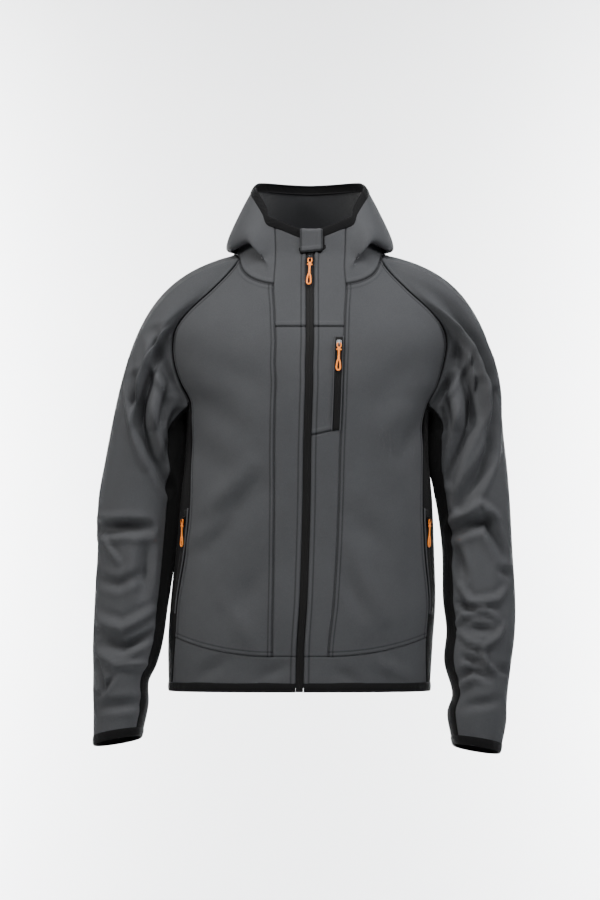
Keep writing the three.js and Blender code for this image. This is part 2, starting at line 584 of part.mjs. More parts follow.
// A sleeve's columns run from the body's front seam over the outside of the arm to its back seam,
// and its rows run down, so its panels turn the other way from the body's
function addSleeve(hand, word, grid) {
  const pick = (from, to) => grid.map((row) => range(to - from + 1).map((j) => row[(from + j) % row.length]));
  const last = CAP_COLUMNS + SIDE_COLUMNS;
  addPanel(`sleeve_${word}`, pick(0, CAP_COLUMNS), -hand, COLOURS.cloth, 2 * GAP);
  addPanel(`under_sleeve_${word}`, pick(CAP_COLUMNS, last), -hand, COLOURS.stretch, 2 * GAP);

  // The cuff's binding goes on from the sleeve's last ring in the same direction
  const [before, end] = grid.slice(-2);
  const ring = [0, 0.5, 1].map((t) =>
    end.map((p, j) => p.clone().addScaledVector(p.clone().sub(before[j]).normalize(), GAP + BINDING * (1 - t))),
  );
  const ordered = hand > 0 ? ring : ring.map((row) => [...row].reverse());
  addBinding(`cuff_binding_${word}`, ordered, true);
}

// An elastic binding, a little proud of the cloth whose edge it holds
const BINDING_PROUD = 0.5;
function addBinding(name, grid, ring = false) {
  const normals = gridNormals(grid, ring);
  const proud = grid.map((row, i) => row.map((p, j) => p.clone().addScaledVector(normals[i][j], BINDING_PROUD)));
  const outer = ring ? proud : insetGrid(proud, ["first", "last"]);
  addPiece(name, wallGeometry(outer, normals, BINDING_WALL, ring), COLOURS.stretch);
}

// The whole neck seam, from the right front strip round the back to the left front strip, with the
// hood's profile standing on each of its points
function hoodGrid() {
  const halfSeam = (word) => {
    const { upperFront, upperBack, neckline } = torsoGrids[word];
    return [
      ...upperFront[ARMHOLE_STEPS].slice(STRIP_END),
      ...neckline.slice(1),
      ...upperBack[ARMHOLE_STEPS].slice(1),
    ];
  };
  const profiles = (word, hand) => {
    const seam = halfSeam(word);
    const steps = seam.map((p, j) => (j ? p.distanceTo(seam[j - 1]) : 0));
    const total = steps.reduce((a, b) => a + b, 0);
    let travelled = 0;
    return seam.map((p, j) => {
      travelled += steps[j];
      const along = travelled / total;
      const plain = (t) => {
        const z = mix(NECK_SEAM_FRONT_Z, COLLAR_TOP_SEAM_Z, t);
        return torsoPoint(hand * stripAngle(z), z).add(p).sub(seam[0]);
      };
      return { along, points: hoodProfile(p, along, plain) };
    });
  };
  const right = profiles("right", -1);
  const left = profiles("left", 1);
  const all = [...left, ...[...right].reverse().slice(1)];
  return {
    along: all.map((s) => s.along),
    grid: HOOD_STEPS.map((_, i) => all.map((s) => s.points[i])),
  };
}

function addHood() {
  const { along, grid } = hoodGrid();
  const rows = HOOD_STEPS.length - 1;
  const columns = grid[0].length - 1;
  const first = along.findIndex((a) => a > HOOD_SIDE_SHARE);
  const second = columns - first;
  addPanel("hood_side_left", slice(grid, 0, rows, 0, first), 1, COLOURS.cloth);
  addPanel("hood_middle", slice(grid, 0, rows, first, second), 1, COLOURS.cloth);
  addPanel("hood_side_right", slice(grid, 0, rows, second, columns), 1, COLOURS.cloth);

  // The binding of the face opening runs on along the neck panels' tops to the zip on both sides
  const { left, right } = torsoGrids;
  const join = (before, middle, after) => [...before.slice(0, -1), ...middle, ...[...after].reverse().slice(1)];
  const edge = join(left.neckTop, grid[rows], right.neckTop);
  const below = join(left.neckRowBelow, grid[rows - 1], right.neckRowBelow);
  const band = [0, 0.5, 1].map((t) =>
    edge.map((p, j) => p.clone().addScaledVector(p.clone().sub(below[j]).normalize(), 2 * GAP + BINDING * t)),
  );
  addBinding("hood_binding", band);
}

function addHemBinding() {
  const { left, right } = torsoGrids;
  const seam = [...left.hem[0], ...[...right.hem[0]].reverse().slice(1)];
  const band = [BINDING, BINDING / 2, 0].map((drop) => seam.map((p) => point(p.x, p.y, p.z - GAP - drop)));
  addBinding("hem_binding", band);
}

// A band that lies on the torso, by its heights and the sideways places of its two edges
function bandOnTorso(zs, edges, lift, columns = 2) {
  const grid = zs.map((z) => {
    const [from, to] = edges(z);
    return range(columns + 1).map((j) => {
      const across = mix(from, to, j / columns);
      return torsoPoint(Math.sign(across) * angleAcross(Math.abs(across), z), z);
    });
  });
  const normals = gridNormals(grid);
  return [grid.map((row, i) => row.map((p, j) => p.clone().addScaledVector(normals[i][j], lift))), normals];
}

const ZIP_TOP_Z = 14;
const ZIP_FOOT_Z = -657;
function addMainZip() {
  const zs = range(45).map((i) => mix(ZIP_FOOT_Z, ZIP_TOP_Z, i / 44));
  const half = ZIP_WIDTH / 2 - GAP;
  const [grid, normals] = bandOnTorso(zs, () => [-half, half], 0);
  addPiece("main_zip", wallGeometry(grid, normals, CLOTH), COLOURS.tape);
}

const GARAGE = { from: -16, to: 19, low: 10, high: 44, lift: 3.2, wall: 2.4 };
function addZipGarage() {
  const zs = range(5).map((i) => mix(GARAGE.low, GARAGE.high, i / 4));
  const [grid, normals] = bandOnTorso(zs, () => [GARAGE.from, GARAGE.to], GARAGE.lift, 4);
  addPiece("zip_garage", wallGeometry(grid, normals, GARAGE.wall), COLOURS.cloth);
}

// A zip that lies on a panel, as a band of the panel's points moved out
const POCKET_ZIP_WALL = 1.2;
const POCKET_LIFT = GAP + POCKET_ZIP_WALL;
const CHEST_ZIP = { low: -261, high: -120, width: 11 };
function addChestZip() {
  const zs = range(9).map((i) => mix(CHEST_ZIP.low, CHEST_ZIP.high, i / 8));
  const edges = (z) => [torso.strip(z) - 1.5 - CHEST_ZIP.width, torso.strip(z) - 1.5];
  const [grid, normals] = bandOnTorso(zs, edges, POCKET_LIFT);
  addPiece("chest_pocket_zip", wallGeometry(grid, normals, POCKET_ZIP_WALL), COLOURS.tape);
}

const SIDE_ZIP = { low: -540, high: -382, from: 1.5, to: 6.5 };
function sideZipGrid(hand) {
  const zs = range(9).map((i) => mix(SIDE_ZIP.low, SIDE_ZIP.high, i / 8));
  const grid = zs.map((z) =>
    range(3).map((j) => torsoPoint(hand * (torso.side(z) + mix(SIDE_ZIP.from, SIDE_ZIP.to, j / 2)), z)),
  );
  return hand > 0 ? grid : grid.map((row) => [...row].reverse());
}
function addSideZip(hand, word) {
  const grid = sideZipGrid(hand);
  const normals = gridNormals(grid);
  const lifted = grid.map((row, i) => row.map((p, j) => p.clone().addScaledVector(normals[i][j], POCKET_LIFT)));
  addPiece(`side_pocket_zip_${word}`, wallGeometry(lifted, normals, POCKET_ZIP_WALL), COLOURS.tape);
}

// The slider and its pull, in a frame of their own: up runs along the zip, out away from the cloth.
// The pull's top bar passes under the slider's arch and turns there.
const SLIDER = { width: 8, height: 11, plate: 2.2, arch: 2, archReach: 7, archRise: 4.4, hole: 2.8 };
const PULL = { thick: 1.5, length: 42, frame: 8, stem: 3.2, loop: 8.4, bar: 1.4 };
const PULL_LEAN = 4; // degrees by which a hanging pull leans in to the cloth
const MAIN_LEAN = -2; // the cloth under the main pull swells out, so it leans the other way
const HINGE_OUT = SLIDER.plate + 1.6; // the hinge's height over the slider's underside

const toSolid = (geometry) => {
  const bare = geometry.index ? geometry.toNonIndexed() : geometry.clone();
  bare.deleteAttribute("normal");
  bare.deleteAttribute("uv");
  const merged = mergeVertices(bare, 1e-4);
  return new wasm.Manifold(
    new wasm.Mesh({
      numProp: 3,
      vertProperties: new Float32Array(merged.attributes.position.array),
      triVerts: new Uint32Array(merged.index.array),
    }),
  );
};
const fromSolid = (solid) => {
  const mesh = solid.getMesh();
  return new THREE.BufferGeometry()
    .setAttribute("position", new THREE.Float32BufferAttribute(mesh.vertProperties, 3))
    .setIndex(new THREE.BufferAttribute(mesh.triVerts, 1));
};

function sliderGeometry() {
  const plate = new THREE.BoxGeometry(SLIDER.width, SLIDER.height, SLIDER.plate);
  plate.translate(0, 0, SLIDER.plate / 2);
  const half = SLIDER.archReach / 2;
  const side = new THREE.Shape([
    new THREE.Vector2(-half, 0.5),
    new THREE.Vector2(half, 0.5),
    new THREE.Vector2(half, SLIDER.plate + 1.5),
    new THREE.Vector2(half - 1.6, SLIDER.plate + SLIDER.archRise),
    new THREE.Vector2(-half + 1.6, SLIDER.plate + SLIDER.archRise),
    new THREE.Vector2(-half, SLIDER.plate + 1.5),
  ]);
  const hole = new THREE.Path();
  hole.absarc(0, HINGE_OUT, SLIDER.hole / 2, 0, 2 * Math.PI, true);
  side.holes.push(hole);
  const arch = new THREE.ExtrudeGeometry(side, { depth: SLIDER.arch, bevelEnabled: false, curveSegments: 5 });
  arch.translate(0, 0, -SLIDER.arch / 2);
  // the profile's x runs along the zip and its y outwards
  arch.applyMatrix4(new THREE.Matrix4().makeBasis(point(0, 1, 0), point(0, 0, 1), point(1, 0, 0)));
  return fromSolid(toSolid(plate).add(toSolid(arch)));
}

// The pull's outline: a frame round the slider's arch, a stem with a small cross bar, and a loop
function pullGeometry() {
  const frame = PULL.frame / 2;
  const loop = PULL.loop / 2;
  const stem = PULL.stem / 2;
  const foot = -PULL.length;
  const half = [
    [frame, PULL.bar / 2],
    [frame, -5.5],
    [stem, -8],
    [stem, -11],
    [stem + 1.6, -11.6],
    [stem + 1.6, -13.4],
    [stem, -14],
    [stem + 0.4, -24],
    [loop * 0.9, foot + 10],
    [loop, foot + 5],
    [loop * 0.7, foot + 1.2],
    [loop * 0.25, foot],
  ];
  const outline = new THREE.Shape([
    ...half.map(([x, y]) => new THREE.Vector2(x, y)),
    ...half.map(([x, y]) => new THREE.Vector2(-x, y)).reverse(),
  ]);
  const eye = SLIDER.arch / 2 + 0.6;
  outline.holes.push(
    new THREE.Path([
      new THREE.Vector2(-eye, -PULL.bar / 2),
      new THREE.Vector2(-eye, -4.2),
      new THREE.Vector2(eye, -4.2),
      new THREE.Vector2(eye, -PULL.bar / 2),
    ]),
    new THREE.Path([
      new THREE.Vector2(0, foot + 12),
      new THREE.Vector2(-loop * 0.42, foot + 5),
      new THREE.Vector2(0, foot + 2.4),
      new THREE.Vector2(loop * 0.42, foot + 5),
    ]),
  );
  const plate = new THREE.ExtrudeGeometry(outline, { depth: PULL.thick, bevelEnabled: false });
  plate.translate(0, 0, -PULL.thick / 2);
  return fromSolid(toSolid(plate));
}

// Sets a slider and its pull on the cloth at a point, with the zip's direction and the outward normal
function addSlider(word, at, up, out, tilt = PULL_LEAN) {
  const side = up.clone().cross(out).normalize();
  const tangent = out.clone().cross(side).normalize();
  const basis = new THREE.Matrix4().makeBasis(side, tangent, out);
  const base = at.clone().addScaledVector(out, GAP);
  const slider = sliderGeometry().applyMatrix4(basis.clone().setPosition(base));
  addPiece(`slider_${word}`, slider, COLOURS.metal, { roughness: 0.4, metalness: 0.6 });
  const hinge = base.clone().addScaledVector(out, HINGE_OUT);
  const lean = new THREE.Matrix4().makeRotationX(radians(tilt));
  const pull = pullGeometry().applyMatrix4(lean).applyMatrix4(basis.clone().setPosition(hinge));
  const mesh = addPiece(`pull_${word}`, pull, COLOURS.pull, { roughness: 0.5 });
  mesh.userData = { hinge: hinge.toArray(), axis: side.negate().toArray() }; // the record's joint has these
}

// A frame on the torso at an angle and a height, from small steps along its face
function torsoFrame(angle, z) {
  const p = torsoPoint(angle, z);
  const up = torsoPoint(angle, z + 6).sub(torsoPoint(angle, z - 6)).normalize();
  const across = torsoPoint(angle + 1, z).sub(torsoPoint(angle - 1, z)).normalize();
  return { p, up, out: across.cross(up).normalize() };
}

function addSliders() {
  const main = torsoFrame(0, -1);
  addSlider("main", main.p.clone().addScaledVector(main.out, 0.6), main.up, main.out, MAIN_LEAN);
  const chestZ = -131;
  const chest = torsoFrame(angleAcross(torso.strip(chestZ) - 1.5 - CHEST_ZIP.width / 2, chestZ), chestZ);
  addSlider("chest", chest.p.clone().addScaledVector(chest.out, POCKET_LIFT), chest.up, chest.out);
  const sideZ = -398;
  for (const [word, hand] of [["side_right", -1], ["side_left", 1]]) {
    const angle = hand * (torso.side(sideZ) + (SIDE_ZIP.from + SIDE_ZIP.to) / 2);
    const place = torsoFrame(angle, sideZ);
    addSlider(word, place.p.clone().addScaledVector(place.out, POCKET_LIFT + 0.4), place.up, place.out);
  }
}

const sleeveRight = buildSide(-1, "right", SLEEVE_RIGHT, FOLDS_RIGHT);
const sleeveLeft = buildSide(1, "left", SLEEVE_LEFT, FOLDS_LEFT);
addTorsoHalf(-1, "right");
addTorsoHalf(1, "left");
addBack();
addSleeve(-1, "right", sleeveRight);
addSleeve(1, "left", sleeveLeft);
addHood();
buildPanels();
addHemBinding();
addMainZip();
addZipGarage();
addChestZip();
addSideZip(-1, "right");
addSideZip(1, "left");
addSliders();

export default garment;
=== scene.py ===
# A hooded softshell jacket, dressed over its fixed CAD frame
import math

import bpy
import numpy as np
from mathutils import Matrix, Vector


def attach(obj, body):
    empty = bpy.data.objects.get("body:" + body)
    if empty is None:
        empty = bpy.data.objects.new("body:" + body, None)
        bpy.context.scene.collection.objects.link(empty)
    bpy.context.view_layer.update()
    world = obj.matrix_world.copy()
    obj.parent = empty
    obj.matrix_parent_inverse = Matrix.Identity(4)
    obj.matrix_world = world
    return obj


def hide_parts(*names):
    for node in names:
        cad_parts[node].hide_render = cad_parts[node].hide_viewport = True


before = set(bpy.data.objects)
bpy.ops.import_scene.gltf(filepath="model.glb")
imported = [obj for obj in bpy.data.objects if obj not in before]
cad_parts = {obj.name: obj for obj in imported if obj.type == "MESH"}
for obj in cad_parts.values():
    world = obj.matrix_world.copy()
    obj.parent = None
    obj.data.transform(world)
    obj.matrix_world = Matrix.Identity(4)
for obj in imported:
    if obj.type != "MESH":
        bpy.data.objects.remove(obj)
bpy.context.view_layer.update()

# %% [markdown]
# A softshell jacket is a few dozen flat pieces of bonded cloth, sewn along long curved seams. Here
# every piece is one surface with two parameters, worked out on a grid with numpy. The tables of
# sizes are the ones the frame's solids came from, so the cloth lies where the solids are.
# All lengths are millimetres until a mesh is made. -Y is the front, +X is the wearer's left.

# %% Small helpers for blending numbers
def mix(a, b, t):
    """The value a share t of the way from a to b."""
    return a + (b - a) * t


def ramp(x, low, high):
    """0 below low, 1 above high, and a smooth S between: 3t^2 - 2t^3."""
    t = np.clip((np.asarray(x, float) - low) / (high - low), 0, 1)
    return t * t * (3 - 2 * t)


def hermite(s, start, leave, end, arrive):
    """The cubic curve from start to end at shares s, with these slopes at its ends."""
    cube, square = s**3, s**2
    from_start = (2 * cube - 3 * square + 1) * start + (cube - 2 * square + s) * leave
    return from_start + (3 * square - 2 * cube) * end + (cube - square) * arrive


def signed_power(value, power):
    """A power of a number's size that keeps its sign, as in a superellipse."""
    return np.sign(value) * np.abs(value) ** power


def through(x, y):
    """A smooth curve through points: cubic Hermite pieces, each slope taken from the neighbours."""
    x, y = np.asarray(x, float), np.asarray(y, float)
    if x[0] > x[-1]:
        x, y = x[::-1], y[::-1]
    before = np.maximum(np.arange(len(x)) - 1, 0)
    after = np.minimum(np.arange(len(x)) + 1, len(x) - 1)
    slope = (y[after] - y[before]) / (x[after] - x[before])

    def at(value):
        v = np.clip(np.asarray(value, float), x[0], x[-1])
        i = np.clip(np.searchsorted(x, v, side="right") - 1, 0, len(x) - 2)
        h = x[i + 1] - x[i]
        s = (v - x[i]) / h
        return hermite(s, y[i], h * slope[i], y[i + 1], h * slope[i + 1])

    return at


def curves(columns, rows, by="z"):
    """One smooth curve for each named column of a table."""
    table = np.array(rows, float)
    key = table[:, columns.index(by)]
    return {name: through(key, table[:, k]) for k, name in enumerate(columns) if name != by}


def xyz(x, y, z):
    """Three arrays of any shape as one array of points."""
    return np.stack(np.broadcast_arrays(x, y, z), axis=-1).astype(float)


def unit(v):
    """Vectors brought to length 1."""
    return v / np.maximum(np.linalg.norm(v, axis=-1, keepdims=True), 1e-9)


# %% [markdown]
# The body of the jacket hangs from the shoulders as a soft tube. At each height it is a
# superellipse, rounder than a box and squarer than an ellipse, so one table row holds its lean,
# its half width, its depth to the front and back, and where the seams run round it.

# %% The torso's table and its surface
ROUNDNESS = 2.4
UNDERARM_Z = -220
NECK_SEAM_FRONT_Z = -39
NECK_SEAM_SIDE_Z = 2
YOKE_SEAM_Z = -105
COLLAR_TOP_ZIP_Z = 30
COLLAR_TOP_SEAM_Z = 50
BINDING = 12
ZIP_WIDTH = 12
ZIP_FOOT_Z = -657
BACK_NECK_Z = 8
TORSO = curves(
    ["z", "lean", "half", "front", "back", "strip", "side", "rear"],
    [
        [-668, -9, 202, 117, 112, 41, 75, 107],
        [-586, -7, 205, 122, 112, 42, 68, 112],
        [-524, -3, 205, 124, 108, 45, 68, 113],
        [-446, 0, 200, 124, 106, 47, 64, 115],
        [-369, 2, 195, 125, 110, 48, 64, 114],
        [-291, 3, 188, 128, 120, 49, 70, 111],
        [-220, 5, 190, 131, 128, 50, 72, 108],
        [-190, 6, 203, 131, 130, 50, 74, 106],
        [-160, 6, 213, 129, 130, 51, 74, 106],
        [-130, 7, 218, 125, 128, 51, 73, 107],
        [-105, 7, 216, 119, 125, 52, 70, 110],
        [-78, 7, 202, 110, 118, 53, 64, 116],
        [-45, 7, 172, 98, 106, 55, 57, 123],
        [-12, 7, 138, 88, 92, 53, 55, 126],
        [10, 8, 120, 83, 84, 53, 57, 127],
        [45, 8, 100, 82, 80, 54, 58, 127],
    ],
)


def torso_point(angle, z):
    """x = lean + half sin(a)^(2/n), y = -front or back times |cos(a)|^(2/n), at angle a from the
    middle front."""
    turn = np.radians(np.asarray(angle, float))
    across, along = np.sin(turn), np.cos(turn)
    power = 2 / ROUNDNESS
    depth = np.where(along > 0, -TORSO["front"](z), TORSO["back"](z))
    x = TORSO["lean"](z) + TORSO["half"](z) * signed_power(across, power)
    return xyz(x, depth * np.abs(along) ** power, z)


def angle_across(across, z):
    """The angle at which the torso's face is this far sideways of its middle."""
    share = np.clip(np.abs(across) / TORSO["half"](z), 0, 1) ** (ROUNDNESS / 2)
    return np.sign(across) * np.degrees(np.arcsin(share))


def zip_angle(z):
    """Where the zip's edge lies."""
    return angle_across(ZIP_WIDTH / 2, z)


def strip_angle(z):
    """Where the long seam beside the zip lies."""
    return angle_across(TORSO["strip"](z), z)


def hem_seam_z(angle, share=None):
    """The seam of the hem's binding, a little lower at the back. A panel's edge is called with an
    angle and a share, and this one needs only the angle."""
    return ZIP_FOOT_Z + BINDING - 6 * (1 - np.cos(np.radians(angle)))


def curved_seam_z(angle, share=None):
    """The seam over the hem piece, lowest at the zip."""
    return mix(-603, -574, ramp(np.abs(angle), 8, 85))


def neck_seam_z(share):
    """The seam under the hood's front, from the strip to the raglan seam."""
    return mix(NECK_SEAM_FRONT_Z, NECK_SEAM_SIDE_Z, np.asarray(share, float) ** 1.4)


def collar_top_z(share):
    """The top edge of a neck panel, from the zip to its long seam."""
    return mix(COLLAR_TOP_ZIP_Z, COLLAR_TOP_SEAM_Z, share)


def torso_panel(hand, start, end, low, high):
    """A panel between two seams. Each point's height is a share v of the way from the low edge to
    the high one, and its angle a share u of the way from one seam to the other at that height."""

    def surface(u, v):
        angle = mix(start(-400.0), end(-400.0), u)
        for _ in range(5):
            z = mix(low(angle, u), high(angle, u), v)
            angle = mix(start(z), end(z), u)
        return torso_point(hand * angle, z)

    return surface


# %% [markdown]
# The sleeve is set in with a raglan seam that runs from the underarm up to the neck. Its cap is a
# Hermite surface: every point of the armhole starts off along the shoulder and arrives pointing
# down the arm. Below it each ring is a superellipse again, and the folds that gather round the
# elbow and the wrist push the rings in and out.

# %% The sleeves' tables
RING_COLUMNS = ["z", "inner", "outer", "front", "back"]
SLEEVES = {
    "right": curves(
        RING_COLUMNS,
        [
            [-262, 192, 301, -68, 66],
            [-310, 194, 310, -68, 62],
            [-369, 197, 320, -66, 58],
            [-446, 204, 321, -66, 52],
            [-524, 211, 325, -72, 42],
            [-586, 218, 327, -80, 30],
            [-626, 228, 326, -84, 20],
            [-652, 240, 326, -85, 10],
            [-687, 240, 325, -86, 4],
            [-726, 248, 325, -85, -3],
        ],
    ),
    "left": curves(
        RING_COLUMNS,
        [
            [-262, 197, 305, -68, 66],
            [-310, 196, 312, -68, 62],
            [-369, 203, 317, -66, 58],
            [-446, 212, 321, -66, 52],
            [-524, 213, 325, -72, 42],
            [-573, 218, 323, -79, 32],
            [-622, 214, 316, -84, 20],
            [-671, 226, 310, -86, 6],
            [-701, 218, 309, -87, 2],
            [-738, 224, 302, -85, -6],
        ],
    ),
}
SLEEVE_TOP_Z = -262
CUFF_Z = {"right": -726, "left": -738}
HAND = {"right": -1, "left": 1}
SHOULDER_STEP = {"right": (-385, 0, -90), "left": (420, 0, -80)}
SHOULDER_REACH = 334
CAP_RADIUS = 52
ARM_ROUNDNESS = 2.2
SEAM_COLUMNS = 9
CAP_COLUMNS = 22
LOOP_COLUMNS = 25
UNDER_HALF_ANGLE = 42
RAGLAN_STEPS = through(range(10), [0, 0.11, 0.22, 0.33, 0.44, 0.54, 0.6425, 0.76, 0.88, 1])

# Folds: each line of heights and angles round the arm, then its width and its depth. Angle 0 faces
# the body, 90 the front and 180 away from the body. A trough has a minus depth. The first rows run
# from the shoulder and underarm to the elbow, the next cross the forearm, then come the back's and
# the swells that lay the arm against the body. The solids have the same kind of folds, but fewer
# and shallower ones.
FOLDS = {
    "right": [
        ([(-108, 134), (-157, 88), (-197, 57)], 8, -11),
        ([(-121, 130), (-150, 104), (-178, 85), (-223, 49)], 6, 5),
        ([(-180, 128), (-229, 103), (-266, 89), (-303, 71), (-350, 42)], 9, -17),
        ([(-150, 160), (-205, 129), (-254, 106), (-314, 82)], 6, 6),
        ([(-241, 44), (-277, 42), (-310, 48)], 10, -8),
        ([(-253, 58), (-284, 42)], 5, 4),
        ([(-115, 104), (-152, 78), (-184, 61)], 6, -10),
        ([(-411, 166), (-411, 127), (-409, 101), (-411, 72)], 9, -17),
        ([(-422, 143), (-441, 127), (-463, 110)], 5, 7),
        ([(-547, 150), (-568, 96), (-542, 53)], 8, 10),
        ([(-584, 128), (-599, 92), (-582, 52)], 8, -14),
        ([(-593, 153), (-625, 101), (-630, 42)], 6, 8),
        ([(-616, 145), (-660, 121), (-643, 102)], 5, -8),
        ([(-439, 73), (-511, 72)], 10, -10),
        ([(-487, 155), (-498, 105), (-481, 76)], 8, -7),
        ([(-685, 133), (-689, 45)], 8, -7),
        ([(-568, 156), (-573, 128)], 5, -5),
        ([(-663, 153), (-667, 123)], 5, -5),
        ([(-420, 220), (-450, 300)], 18, -6),
        ([(-560, 200), (-590, 310)], 15, -6),
        ([(-640, 200), (-650, 320)], 13, -6),
        ([(-225, 0), (-262, 0)], 22, 10),
        ([(-245, 0), (-330, 0)], 26, 6),
        ([(-262, 0), (-500, 0)], 30, 7),
    ],
    "left": [
        ([(-112, 117), (-166, 71), (-210, 48)], 8, -13),
        ([(-156, 82), (-193, 60)], 5, 5),
        ([(-170, 83), (-204, 55), (-257, 42)], 8, -11),
        ([(-132, 120), (-172, 87), (-219, 56), (-256, 42)], 5, 5),
        ([(-192, 111), (-238, 95), (-281, 77), (-336, 53)], 9, -17),
        ([(-150, 151), (-203, 117), (-230, 104)], 6, 5),
        ([(-206, 146), (-290, 122), (-326, 101), (-377, 67)], 9, -16),
        ([(-400, 43), (-387, 74), (-373, 97), (-396, 128)], 6, 7),
        ([(-419, 47), (-406, 80), (-402, 104), (-453, 129)], 9, -15),
        ([(-504, 58), (-528, 77), (-521, 113), (-502, 135)], 6, 8),
        ([(-530, 53), (-542, 81)], 6, -10),
        ([(-564, 43), (-547, 65), (-538, 94), (-553, 117)], 5, 7),
        ([(-570, 71), (-570, 104)], 7, -8),
        ([(-577, 48), (-591, 72), (-596, 94), (-579, 115), (-559, 128)], 5, 7),
        ([(-602, 92), (-623, 100), (-634, 119)], 4, 7),
        ([(-617, 65), (-625, 91)], 6, -8),
        ([(-649, 48), (-636, 78), (-644, 106)], 6, -8),
        ([(-662, 45), (-645, 87)], 5, 5),
        ([(-693, 61), (-674, 132)], 7, -5),
        ([(-483, 150), (-475, 123)], 7, -8),
        ([(-627, 154), (-627, 125)], 6, -7),
        ([(-441, 50), (-485, 61)], 9, -10),
        ([(-430, 220), (-455, 300)], 18, -6),
        ([(-560, 210), (-595, 310)], 15, -6),
        ([(-650, 200), (-655, 320)], 13, -6),
        ([(-125, 182), (-240, 178)], 40, 7),
        ([(-225, 0), (-262, 0)], 22, 9),
        ([(-245, 0), (-345, 0)], 28, 7),
    ],
}


def fold_depth(folds, z, angle, radius):
    """The sum over folds of depth times exp(-a^2) - 0.3 exp(-2(a - 1.7)^2), where a is the
    distance from the fold's line over its width. Each fold is strongest at its middle, and the
    second term, the raised flanks, is only for the narrow ones."""
    z, angle = np.broadcast_arrays(z, angle)
    depth = np.zeros(z.shape)
    for line, width, high in folds:
        nearest = np.full(z.shape, np.inf)
        along = np.zeros(z.shape)
        for step, ((z0, a0), (z1, a1)) in enumerate(zip(line, line[1:])):
            round_arm = np.radians(a1 - a0) * radius
            down = z1 - z0
            arc = np.radians((angle - a0 + 180) % 360 - 180) * radius
            share = np.clip((arc * round_arm + (z - z0) * down) / (round_arm**2 + down**2), 0, 1)
            away = np.hypot(arc - share * round_arm, z - z0 - share * down) / width
            along = np.where(away < nearest, (step + share) / (len(line) - 1), along)
            nearest = np.minimum(nearest, away)
        flank = 0.3 * np.exp(-2 * (nearest - 1.7) ** 2) if width < 12 else 0
        depth += high * (np.exp(-nearest * nearest) - flank) * (0.35 + 0.65 * np.sin(np.pi * along))
    return depth


def arm_point(word, z, angle):
    """A ring of the sleeve: a superellipse between its four edges, pushed by the folds and tipped
    as the forearm comes forward."""
    inner, outer, front, back = (SLEEVES[word][k](z) for k in RING_COLUMNS[1:])
    turn = np.radians(angle)
    radius, middle, depth = (outer - inner) / 2, (inner + outer) / 2, (front + back) / 2
    push = fold_depth(FOLDS[word], z, angle, radius) * ramp(z, CUFF_Z[word], CUFF_Z[word] + 30)
    out = middle - (radius + push) * signed_power(np.cos(turn), 2 / ARM_ROUNDNESS)
    y = depth - ((back - front) / 2 + push) * signed_power(np.sin(turn), 2 / ARM_ROUNDNESS)
    tip = ramp(-z, 420, 720)
    lower = 0.16 * tip * (out - middle) + 0.2 * tip * (y - depth)
    return xyz(HAND[word] * out, y, z - lower)


# %% [markdown]
# The armhole is one closed loop: up the front raglan seam, over the neckline, down the back raglan
# seam and across the top of the side panel. The sleeve's columns are numbered along it.

# %% The armhole and the sleeve's surface
def smooth_chain(points, t):
    """Centripetal Catmull-Rom curves through rows of control points, at shares t of the way. The
    spacing of each span is the root of its length, so tight turns make no loops."""
    first = 2 * points[:, :1] - points[:, 1:2]
    last = 2 * points[:, -1:] - points[:, -2:-1]
    p = np.concatenate([first, points, last], axis=1)
    place = np.clip(np.atleast_2d(t), 0, 1) * (points.shape[1] - 1)
    i = np.minimum(place.astype(int), points.shape[1] - 2)
    w = (place - i)[..., None]
    p0, p1, p2, p3 = (np.take_along_axis(p, (i + k)[..., None], axis=1) for k in range(4))
    spans = ((p0, p1), (p1, p2), (p2, p3))
    d0, d1, d2 = (
        np.maximum(np.linalg.norm(a - b, axis=-1, keepdims=True), 1e-6) ** 0.5 for a, b in spans
    )
    m1 = ((p1 - p0) / d0 - (p2 - p0) / (d0 + d1) + (p2 - p1) / d1) * d1
    m2 = ((p2 - p1) / d1 - (p3 - p1) / (d1 + d2) + (p3 - p2) / d2) * d1
    return hermite(w, p1, m1, p2, m2)


def front_seam_point(hand, v):
    """The front raglan seam, from the underarm up to the neck."""
    z = mix(UNDERARM_Z, NECK_SEAM_SIDE_Z, v)
    return torso_point(hand * TORSO["side"](z), z)


def back_seam_point(hand, v):
    """The back raglan seam, from the underarm up to the neck."""
    z = mix(UNDERARM_Z, BACK_NECK_Z, v)
    return torso_point(hand * TORSO["rear"](z), z)


def shoulder_neckline(hand, t):
    """The arch from the front raglan seam over the shoulder to the back one."""
    middle = np.array([TORSO["lean"](0) + hand * 113, 2, 12])
    ends = front_seam_point(hand, 1.0), back_seam_point(hand, 1.0)
    arch = smooth_chain(np.array([[ends[0], middle, ends[1]]]), np.ravel(t))[0]
    return arch.reshape(*np.shape(t), 3)


def armhole_point(hand, j):
    """A point of the armhole's loop at column j, which may lie between columns."""
    share = np.clip((j - CAP_COLUMNS) / 3, 0, 1)
    under_angle = mix(TORSO["rear"](UNDERARM_Z), TORSO["side"](UNDERARM_Z), share)
    side = torso_point(hand * under_angle, UNDERARM_Z)
    front = front_seam_point(hand, RAGLAN_STEPS(j))
    back = back_seam_point(hand, RAGLAN_STEPS(CAP_COLUMNS - j))
    neck = shoulder_neckline(hand, (j - SEAM_COLUMNS) / 4)
    j = j[..., None]
    loop = np.where(j <= CAP_COLUMNS, back, side)
    loop = np.where(j < CAP_COLUMNS - SEAM_COLUMNS, neck, loop)
    return np.where(j <= SEAM_COLUMNS, front, loop)


